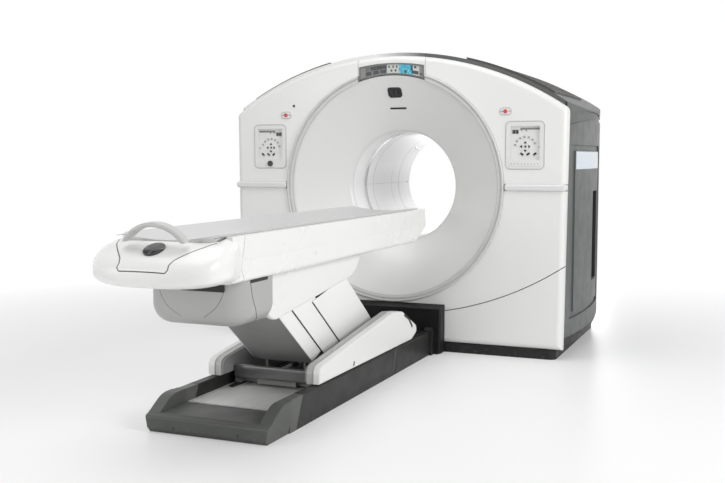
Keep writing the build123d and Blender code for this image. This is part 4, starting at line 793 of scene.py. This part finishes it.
class SCANNER_OT_status_display(bpy.types.Operator):
    """Fields of the curved status display in the bridge"""
    bl_idname = "scanner.status_display"
    bl_label = "Status display"

    def execute(self, context):
        half, face, raised = 0.207, 0.0005, 0.0006
        arc_half, arc_rise, crown_z, margin = 0.216, 0.020, 1.795, 0.009
        top_radius = (arc_half ** 2 + arc_rise ** 2) / (2 * arc_rise)
        low_radius = 0.706

        def upper(x):
            return crown_z - margin - top_radius + np.sqrt(top_radius ** 2 - x ** 2)

        def lower(x):
            return ISO_Z + np.sqrt(low_radius ** 2 - x ** 2)

        def field(f0, f1, v0, v1, lift=0.0):
            """Part of the display, from f0 to f1 of its width and v0 to v1 of its height."""
            return band(lower, upper, face - lift, 0.001, (2 * f0 - 1) * half, (2 * f1 - 1) * half, v0, v1,
                        columns=12)

        build("display_grey_ends", joined([field(0.0, 0.08, 0.0, 1.0), field(0.945, 1.0, 0.0, 1.0)]),
              "mark_grey", "gantry")
        build("display_grey_field", field(0.08, 0.43, 0.0, 1.0), "screen_grey", "gantry")
        build("display_light_fields", joined([field(0.43, 0.62, 0.0, 1.0), field(0.845, 0.945, 0.0, 1.0)]),
              "screen_light", "gantry")
        build("display_cyan_field", field(0.62, 0.81, 0.0, 1.0), "screen_cyan", "gantry")
        dark = [field(0.17, 0.425, 0.55, 0.93, raised), field(0.81, 0.845, 0.45, 1.0)]
        dark += [field(f, f + 0.088, 0.08, 0.45, raised) for f in (0.092, 0.21, 0.33)]
        dark += [field(0.825, 0.935, 0.12, 0.45, raised), field(0.862, 0.90, 0.72, 0.93, raised),
                 field(0.71, 0.745, 0.08, 0.4, raised), field(0.96, 0.985, 0.15, 0.35, raised)]
        dark += [field(f, f + 0.022, 0.62, 0.88, raised) for f in (0.455, 0.52, 0.578)]
        dark += [field(f, f + 0.028, 0.18, 0.42, raised) for f in (0.49, 0.556)]
        build("display_dark_blocks", joined(dark), "screen_dark", "gantry")
        build("display_under_cyan", field(0.81, 0.845, 0.0, 0.45), "screen_cyan", "gantry")
        return {"FINISHED"}


class SCANNER_OT_front_fittings(bpy.types.Operator):
    """Stop rings and marks, sensor dot, window frame and lenses, painted shade in the speaker slot, and the
    roof's front seal
    """
    bl_idname = "scanner.front_fittings"
    bl_label = "Front fittings"

    def execute(self, context):
        for side, word in SIDES:
            place = on_front(side * STOP_X, STOP_Z, PLATE_FACE)
            ring = plate(place, rectangle(0.0757, 0.0457, 0.0228), ring_levels(0.0042, 0.0012), ring=True)
            build(f"stop_ring_{word}", ring, "line_grey", "gantry")
            ears = [plate(on_front(side * STOP_X + u, STOP_Z, PLATE_FACE),
                          rectangle(0.013, 0.009, 0.0042, 5), pad_levels(0.0008, 0.0004))
                    for u in (-0.0245, 0.0245)]
            build(f"stop_marks_{word}", joined(ears), "line_grey", "gantry")
        dot = plate(on_front(-0.676, 1.543), disc(0.0085), [(0.0, -0.001), (0.0, 0.002), (0.002, 0.0028)])
        build("sensor_dot", dot, "key_black", "gantry")
        place = on_dish(0.0, 0.592)
        frame_ring = plate(place, rectangle(0.112, 0.086, 0.024), ring_levels(0.010, 0.0022), ring=True)
        build("window_frame", frame_ring, "cover_white", "gantry")
        lens = [plate(on_dish(u, 0.594), rectangle(0.026, 0.040, 0.008),
                      [(0.0, 0.004), (0.0, 0.0072), (0.001, 0.0078)]) for u in (-0.015, 0.015)]
        build("window_lenses", joined(lens), "glass_black", "gantry")
        # Painted shade: a near-black plate in the speaker slot stands for the shade behind the cut
        slot = plate(on_dish(0.0, 0.494), rectangle(0.118, 0.0135, 0.0065),
                     [(0.0, -0.004), (0.0, 0.0006), (0.001, 0.001)])
        build("speaker_insert", slot, "under_dark", "gantry")

        def arch(x):
            return ARCH_TOP - ARCH_RADIUS + np.sqrt(ARCH_RADIUS ** 2 - x ** 2)

        seal = band(lambda x: arch(x) - 0.012, lambda x: arch(x) + 0.0235, 0.0625, 0.006,
                    -1.075, 1.075, 0.0, 1.0, columns=90)
        build("roof_front_seal", seal, "roof_grey", "gantry")
        return {"FINISHED"}


class SCANNER_OT_bore_fittings(bpy.types.Operator):
    """Seams, port and sensor dots on the bore's liner"""
    bl_idname = "scanner.bore_fittings"
    bl_label = "Bore fittings"

    def execute(self, context):
        radius = BORE_RADIUS - 0.0002

        def lining(turn, y):
            """Path on the liner: turn in radians from the right, depth y; the normal points to the axis."""
            turn, y = np.broadcast_arrays(np.asarray(turn, float), np.asarray(y, float))
            inward = -np.stack([np.cos(turn), np.zeros_like(turn), np.sin(turn)], axis=-1)
            points = np.stack([radius * np.cos(turn), y, ISO_Z + radius * np.sin(turn)], axis=-1)
            return points, inward

        length = [bead(*lining(math.pi * f, np.linspace(0.48, 1.24, 40)), 0.0016, 0.0005)
                  for f in (0.0, 1.0)]
        build("bore_long_seams", joined(length), "line_grey", "gantry")
        rings = [bead(*lining(np.linspace(0.0, 2 * math.pi, 97)[:-1], y), 0.0022, 0.0006, closed=True)
                 for y in (0.40, 0.575, 1.07)]
        build("bore_ring_seams", joined(rings), "line_grey", "gantry")
        port = bead(*lining(np.radians(np.linspace(133.0, 137.0, 10)), np.linspace(1.13, 1.265, 10)),
                    0.012, 0.0012)
        build("bore_port", port, "key_black", "gantry")
        dots = [bead(*lining(math.pi, np.linspace(y - 0.006, y + 0.006, 6)), 0.012, 0.0015)
                for y in (0.441, 1.254)]
        build("bore_dots", joined(dots), "mark_grey", "gantry")
        return {"FINISHED"}


class SCANNER_OT_side_fittings(bpy.types.Operator):
    """Bare name plates, and dark boxes of painted shade inside the air slots of both service doors"""
    bl_idname = "scanner.side_fittings"
    bl_label = "Side fittings"

    def execute(self, context):
        door = skins("side_door_right")
        bare = skin_patch(door, (1.4, 0.63, 1.192), (0, 1, 0), (0, 0, 1), FROM_RIGHT,
                          (0.76, 0.108), 0.0025, (30, 4))
        # Painted shade: a near-black box inside each air slot stands for the shade in it
        shade_box = plate(on_side(0.88, 0.696, 1.1055), rectangle(0.236, 0.584, 0.004),
                     [(0.0, -0.046), (0.0, 0.0), (0.001, 0.0), (0.001, -0.045)])
        for side, word in SIDES:
            build(f"side_plate_{word}", bare if side > 0 else mirrored(bare), "plate_blue", "gantry")
            build(f"air_slot_liner_{word}", shade_box if side > 0 else mirrored(shade_box), "under_dark", "gantry")
        return {"FINISHED"}


def foot_end_surface(length, rows=52, columns=72):
    """Moulded foot end. Its plan is straight and then a quarter superellipse, x = a cos(s)^(2/3.4),
    y = b - l sin(s)^(2/3.4). Each section across is |x/w|^n + |z/h|^n = 1, with n falling from 9 to 3.
    Its height falls with cos(s)^0.3, and its top slopes down with the reach to the power 2.4."""
    flat_rows, plan = 16, 2 / 3.4
    start, knee = -2.345, -2.475
    s = np.linspace(0.0, math.pi / 2, rows - flat_rows + 1)[1:] * 0.9995
    y = np.concatenate([np.linspace(start, knee, flat_rows), knee - length * np.sin(s) ** plan])
    ease = np.clip((start - y) / 0.15, 0.0, 1.0)
    half = (BEAM_HALF + 0.0012 + 0.036 * ease ** 2 * (3 - 2 * ease)) * np.concatenate(
        [np.ones(flat_rows), np.cos(s) ** plan])
    share = np.clip((start - y) / (length + start - knee), 0.0, 1.0)
    top = BEAM_HIGH + 0.0012 - 0.098 * share ** 2.4
    low = BEAM_LOW - 0.0012 - 0.006 * share
    tall = (top - low) / 2 * np.concatenate([np.ones(flat_rows), np.cos(s) ** 0.3])
    middle = (top + low) / 2
    a = np.linspace(0.0, 2 * math.pi, columns + 1)[:-1] + 0.01
    c, d = np.cos(a), np.sin(a)
    power = 2 / np.interp(share, [0.0, 0.35, 1.0], [9.0, 4.4, 3.0])[:, None]
    x = half[:, None] * np.sign(c) * np.abs(c) ** power
    z = middle[:, None] + tall[:, None] * np.sign(d) * np.abs(d) ** power
    points = np.stack([x, np.broadcast_to(y[:, None], x.shape), z], axis=-1).reshape(-1, 3)
    faces = grid_faces(len(y), columns, wrap_columns=True)
    ends = [[0.0, y[0], middle[0]], [0.0, y[-1], middle[-1]]]
    faces += fan(0, columns, len(points), flip=True)
    faces += fan((len(y) - 1) * columns, columns, len(points) + 1, flip=False)
    return np.vstack([points, ends]), faces


class SCANNER_OT_foot_end(bpy.types.Operator):
    """Moulded foot end of the table top with its console outline and plain badge disc"""
    bl_idname = "scanner.foot_end"
    bl_label = "Foot end"

    def execute(self, context):
        sizes = context.scene.scanner_sizes
        shell = build("foot_end", foot_end_surface(0.190), "table_white", "carriage")
        self.cut_bed(shell)
        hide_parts("end_cover")
        skin = skins(shell)
        aim = np.array([0.0, 0.7071, -0.7071])
        half = np.array([(0.229, -2.492, 0.884), (0.205, -2.540, 0.866), (0.165, -2.585, 0.843),
                         (0.125, -2.625, 0.818), (0.114, -2.645, 0.800), (0.117, -2.655, 0.780),
                         (0.106, -2.662, 0.770)])
        path = straight_through(np.vstack([half, half[::-1] * [-1.0, 1.0, 1.0]]), 0.006)
        outline = drawn(skin, path - 0.5 * aim, aim, 0.0050, 0.0010)
        build("console_outline", outline, "line_dark", "carriage")
        spot, facing = cast(skin, [np.array([0.0, -2.574, 0.852]) - 0.5 * aim], aim)
        right = np.array([1.0, 0.0, 0.0])
        up = np.cross(facing[0], right)
        badge = plate((spot[0], right, up / np.linalg.norm(up)), disc(sizes.badge_radius, 12),
                      [(0.0, -0.004), (0.0, 0.0030), (0.0015, 0.0045), (0.0045, 0.0050)])
        build("badge_disc", badge, "key_black", "carriage")
        side = curve_through([(0.6, -2.318, 0.893), (0.6, -2.335, 0.830), (0.6, -2.352, 0.765),
                              (0.6, -2.331, 0.722)], 24)
        seam = drawn(skin + skins("table_beam"), side, FROM_RIGHT, 0.0030, 0.0008)
        build("foot_end_seams", both_sides(seam), "line_grey", "carriage")
        return {"FINISHED"}

    def cut_bed(self, shell):
        """Take the cradle's bed, with its round corners, out of the top of the foot end."""
        flat = on_flat(0.0, -2.353, BED_Z)
        points, faces = plate(flat, rectangle(0.4624, 0.308, 0.0735, 16), [(0.0, 0.0), (0.0, 0.09)])
        bed = bpy.data.meshes.new("bed_cut")
        bed.from_pydata(points.tolist(), [], faces)
        face_outwards(bed)
        block = bpy.data.objects.new("bed_cut", bed)
        bpy.context.scene.collection.objects.link(block)
        cut = shell.modifiers.new("bed", "BOOLEAN")
        cut.operation = "DIFFERENCE"
        cut.solver = "EXACT"
        cut.object = block
        done = bpy.data.meshes.new_from_object(shell.evaluated_get(bpy.context.evaluated_depsgraph_get()))
        shell.modifiers.clear()
        shell.data = done
        bpy.data.objects.remove(block)


class SCANNER_OT_table_fittings(bpy.types.Operator):
    """Gaps beside the cradle, the pan's seams and slot, and painted shade in the gaps at the pan's sides"""
    bl_idname = "scanner.table_fittings"
    bl_label = "Table fittings"

    def execute(self, context):
        up = np.array([[0.0, 0.0, 1.0]])
        path = straight_through([(0.2298, -2.50, 0.8958), (0.2298, -0.075, 0.8958)], 0.05)
        gap = bead(path, np.repeat(up, len(path), axis=0), 0.0046, 0.0009)
        build("cradle_gaps", both_sides(gap), "line_dark", "carriage")
        pan = skins("belly_cover")
        side = curve_through([(0.6, -2.232, 0.702), (0.6, -2.212, 0.62), (0.6, -2.172, 0.555),
                              (0.6, -2.115, 0.512)], 24)
        seam = drawn(pan, side, FROM_RIGHT, 0.0042, 0.0010)
        front = curve_through([(-0.160, -2.7, 0.690), (-0.152, -2.7, 0.645), (-0.118, -2.7, 0.590),
                               (-0.055, -2.7, 0.545)], 20)
        fold = drawn(pan, front, FROM_FRONT, 0.0022, 0.0006)
        build("pan_seams", joined([both_sides(seam), both_sides(fold)]), "line_dark", "carriage")
        slot = plate(on_front(0.055, 0.672, -2.318), rectangle(0.215, 0.030, 0.008), pad_levels(0.0012))
        build("pan_slot", slot, "under_dark", "carriage")
        # Painted shade: near-black plates stand for the shade in the gap under the beam, beside the pan
        gap = plate(on_side(-2.155, 0.6965, BEAM_HALF - 0.026), rectangle(0.150, 0.015, 0.004),
                    pad_levels(0.0014))
        build("pan_side_gaps", both_sides(gap), "under_dark", "carriage")
        return {"FINISHED"}


class SCANNER_OT_column_fittings(bpy.types.Operator):
    """Painted shade in the gaps between the side sheets, the bar across the pedestal, painted shade in the
    shoes' recesses, and the shoes' lines
    """
    bl_idname = "scanner.column_fittings"
    bl_label = "Column fittings"

    def execute(self, context):
        # Painted shade: near-black strips stand for the shade in the slits between the overlapping side
        # sheets
        for name, foot_y, mid, length, edge, x, body in (
                ("middle", -1.162, 0.385, 0.462, -0.1155, 0.1668, "middle_sheets"),
                ("rear", -0.851, 0.457, 0.478, -0.1685, 0.1713, "rear_arm")):
            gap = plate(on_arm(foot_y, mid, edge, x), rectangle(length, 0.0052, 0.0022, 5),
                        [(0.0, -0.0010), (0.0, 0.0022), (0.0006, 0.0026)])
            build(f"sheet_gap_{name}", both_sides(gap), "under_dark", body)
        bar = plate(on_front(0.0, 0.157, -1.5855), rectangle(0.437, 0.067, 0.014),
                    [(0.0, -0.001), (0.0, 0.004), (0.002, 0.008), (0.006, 0.011), (0.012, 0.012)])
        build("pedestal_bar", bar, "bar_grey", "pedestal")
        shoe = skins("shoe_cover_right")
        # Painted shade: a near-black bead and a small plate stand for the shade in the heel recess and the
        # pit
        heel = straight_through([(0.6, -0.575, 0.318), (0.6, -0.50, 0.285), (0.6, -0.44, 0.228)], 0.01)
        recess_shade = drawn(shoe, heel, FROM_RIGHT, 0.018, 0.0012)
        pit_shade = plate(on_side(-1.303, 0.177, 0.305, -25.0), rectangle(0.012, 0.026, 0.0058), pad_levels(0.001))
        build("shoe_recesses", both_sides(joined([recess_shade, pit_shade])), "under_dark", "pedestal")
        line_x, apart = 0.2675, 0.017
        toe = straight_through([(line_x, -1.9, 0.158), (line_x, -1.9, 0.222)], 0.01)
        ridge = straight_through([(line_x, -1.655, 0.6), (line_x, -0.50, 0.6)], 0.03)
        lines = [drawn(shoe, path - [apart * k, 0.0, 0.0], aim, 0.0022, 0.0006)
                 for path, aim in ((toe, FROM_FRONT), (ridge, FROM_ABOVE)) for k in (0, 1)]
        build("shoe_lines", both_sides(joined(lines)), "line_grey", "pedestal")
        return {"FINISHED"}


class SCANNER_OT_base_fittings(bpy.types.Operator):
    """Joints, seams and screws of the floor base"""
    bl_idname = "scanner.base_fittings"
    bl_label = "Base fittings"

    def execute(self, context):
        base = skins("base_frame", "base_end_cap")
        side = straight_through([(0.6, -1.8705, 0.143), (0.6, -1.938, 0.006)], 0.01)
        cross = straight_through([(0.255, -1.8695, 0.6), (0.297, -1.8695, 0.6)], 0.006)
        rear = straight_through([(0.6, -0.690, 0.143), (0.6, -0.745, 0.006)], 0.01)
        seams = joined([drawn(base, side, FROM_RIGHT, 0.0080, 0.0014),
                        drawn(base, cross, FROM_ABOVE, 0.0080, 0.0014)])
        build("base_joints", both_sides(drawn(base, rear, FROM_RIGHT, 0.0060, 0.0010)), "bar_grey", "gantry")
        build("base_seams", both_sides(seams), "under_dark", "gantry")
        head = [(0.0, -0.001), (0.0, 0.0006), (0.0012, 0.0012), (0.0026, 0.0004)]
        screws = [plate(on_front(x, 0.030, -2.222), disc(0.0058), head) for x in (-0.160, 0.160)]
        build("base_screws", joined(screws), "under_dark", "gantry")
        return {"FINISHED"}


class SCANNER_OT_stage(bpy.types.Operator):
    """Floor, background, studio lights and camera"""
    bl_idname = "scanner.stage"
    bl_label = "Stage"

    def execute(self, context):
        values = context.scene.scanner_stage
        scene = context.scene
        scene.view_settings.view_transform = "Standard"
        self.floor(scene)
        self.world(scene, values.sky)
        for name, place, aim, size in LAMPS:
            self.lamp(name, place, aim, size, getattr(values, name))
        camera = bpy.data.objects.new("camera", bpy.data.cameras.new("camera"))
        camera.data.lens = values.lens
        camera.data.sensor_width = 36.0
        camera.location = CAMERA_PLACE
        camera.rotation_euler = (math.radians(90 - CAMERA_DOWN), 0.0, math.radians(CAMERA_TURN))
        camera.data.clip_end = 200.0
        scene.collection.objects.link(camera)
        scene.camera = camera
        return {"FINISHED"}

    def floor(self, scene):
        """Pale floor disc whose far edge fades into the background."""
        rings, count = 3, 96
        t = np.linspace(0.0, 2 * math.pi, count + 1)[:-1]
        r = np.array([2.0, 8.0, 30.0])[:, None]
        points = np.stack([r * np.cos(t), r * np.sin(t), np.zeros((rings, count))], axis=-1).reshape(-1, 3)
        faces = grid_faces(rings, count, wrap_columns=True) + fan(0, count, rings * count, flip=False)
        mesh = bpy.data.meshes.new("studio_floor")
        mesh.from_pydata(np.vstack([points, [[0.0, 0.0, 0.0]]]).tolist(), [], faces)
        mesh.update()
        made = Finish("floor_white", (0.93, 0.93, 0.93), 0.42)
        made.mottle(0.6, 0.01)
        tree = made.tree
        white = tree.nodes.new("ShaderNodeEmission")
        white.inputs["Strength"].default_value = 1.0
        path = tree.nodes.new("ShaderNodeLightPath")
        centred = made.node("ShaderNodeMapping", Vector=made.place, Location=(0.0, 0.5, 0.0))
        away = made.node("ShaderNodeVectorMath", Vector=centred.outputs["Vector"])
        away.operation = "LENGTH"
        fade = made.mapped(away.outputs["Value"], 1.9, 4.6, 0.22, 1.0)
        blend = tree.nodes.new("ShaderNodeMixShader")
        made.feed(blend.inputs[0], made.maths("MULTIPLY", fade, path.outputs["Is Camera Ray"]))
        made.feed(blend.inputs[1], made.shader.outputs[0])
        made.feed(blend.inputs[2], white.outputs[0])
        made.feed(tree.nodes["Material Output"].inputs["Surface"], blend.outputs[0])
        mesh.materials.append(made.material)
        piece = bpy.data.objects.new("studio_floor", mesh)
        scene.collection.objects.link(piece)

    def world(self, scene, strength):
        """Even pale light all round; the camera and mirrors see white."""
        world = bpy.data.worlds.new("studio")
        world.use_nodes = True
        tree = world.node_tree
        scene.world = world
        sky = tree.nodes["Background"]
        sky.inputs["Color"].default_value = (1.0, 1.0, 1.0, 1.0)
        sky.inputs["Strength"].default_value = strength
        white = tree.nodes.new("ShaderNodeBackground")
        white.inputs["Color"].default_value = (1.0, 1.0, 1.0, 1.0)
        white.inputs["Strength"].default_value = 1.0
        path = tree.nodes.new("ShaderNodeLightPath")
        seen = path.outputs["Is Camera Ray"]
        for other in ("Is Glossy Ray", "Is Transmission Ray"):
            either = tree.nodes.new("ShaderNodeMath")
            either.operation = "MAXIMUM"
            tree.links.new(seen, either.inputs[0])
            tree.links.new(path.outputs[other], either.inputs[1])
            seen = either.outputs[0]
        blend = tree.nodes.new("ShaderNodeMixShader")
        tree.links.new(seen, blend.inputs[0])
        tree.links.new(sky.outputs[0], blend.inputs[1])
        tree.links.new(white.outputs[0], blend.inputs[2])
        tree.links.new(blend.outputs[0], tree.nodes["World Output"].inputs["Surface"])

    def lamp(self, name, place, aim, size, power):
        """Square area light aimed at a point."""
        light = bpy.data.lights.new(name, "AREA")
        light.size = size
        light.energy = power
        lamp = bpy.data.objects.new(name, light)
        lamp.location = place
        lamp.rotation_euler = (Vector(aim) - Vector(place)).to_track_quat("-Z", "Y").to_euler()
        bpy.context.scene.collection.objects.link(lamp)


class SCANNER_PT_looks(bpy.types.Panel):
    """Scanner looks in the sidebar"""
    bl_idname = "SCANNER_PT_looks"
    bl_label = "Scanner"
    bl_space_type = "VIEW_3D"
    bl_region_type = "UI"
    bl_category = "Scanner"

    def draw(self, context):
        for step in STEPS:
            self.layout.operator(step.bl_idname)


STEPS = (SCANNER_OT_finishes, SCANNER_OT_operator_panels, SCANNER_OT_status_display,
         SCANNER_OT_front_fittings, SCANNER_OT_bore_fittings, SCANNER_OT_side_fittings, SCANNER_OT_foot_end,
         SCANNER_OT_table_fittings, SCANNER_OT_column_fittings, SCANNER_OT_base_fittings, SCANNER_OT_stage)
CLASSES = (ScannerColours, ScannerSizes, ScannerStage) + STEPS + (SCANNER_PT_looks,)


def register():
    for item in CLASSES:
        bpy.utils.register_class(item)
    bpy.types.Scene.scanner_colours = PointerProperty(type=ScannerColours)
    bpy.types.Scene.scanner_sizes = PointerProperty(type=ScannerSizes)
    bpy.types.Scene.scanner_stage = PointerProperty(type=ScannerStage)


def unregister():
    del bpy.types.Scene.scanner_stage
    del bpy.types.Scene.scanner_sizes
    del bpy.types.Scene.scanner_colours
    for item in reversed(CLASSES):
        bpy.utils.unregister_class(item)


def main():
    register()
    for step in STEPS:
        group, name = step.bl_idname.split(".")
        getattr(getattr(bpy.ops, group), name)()


if __name__ == "__main__":
    main()
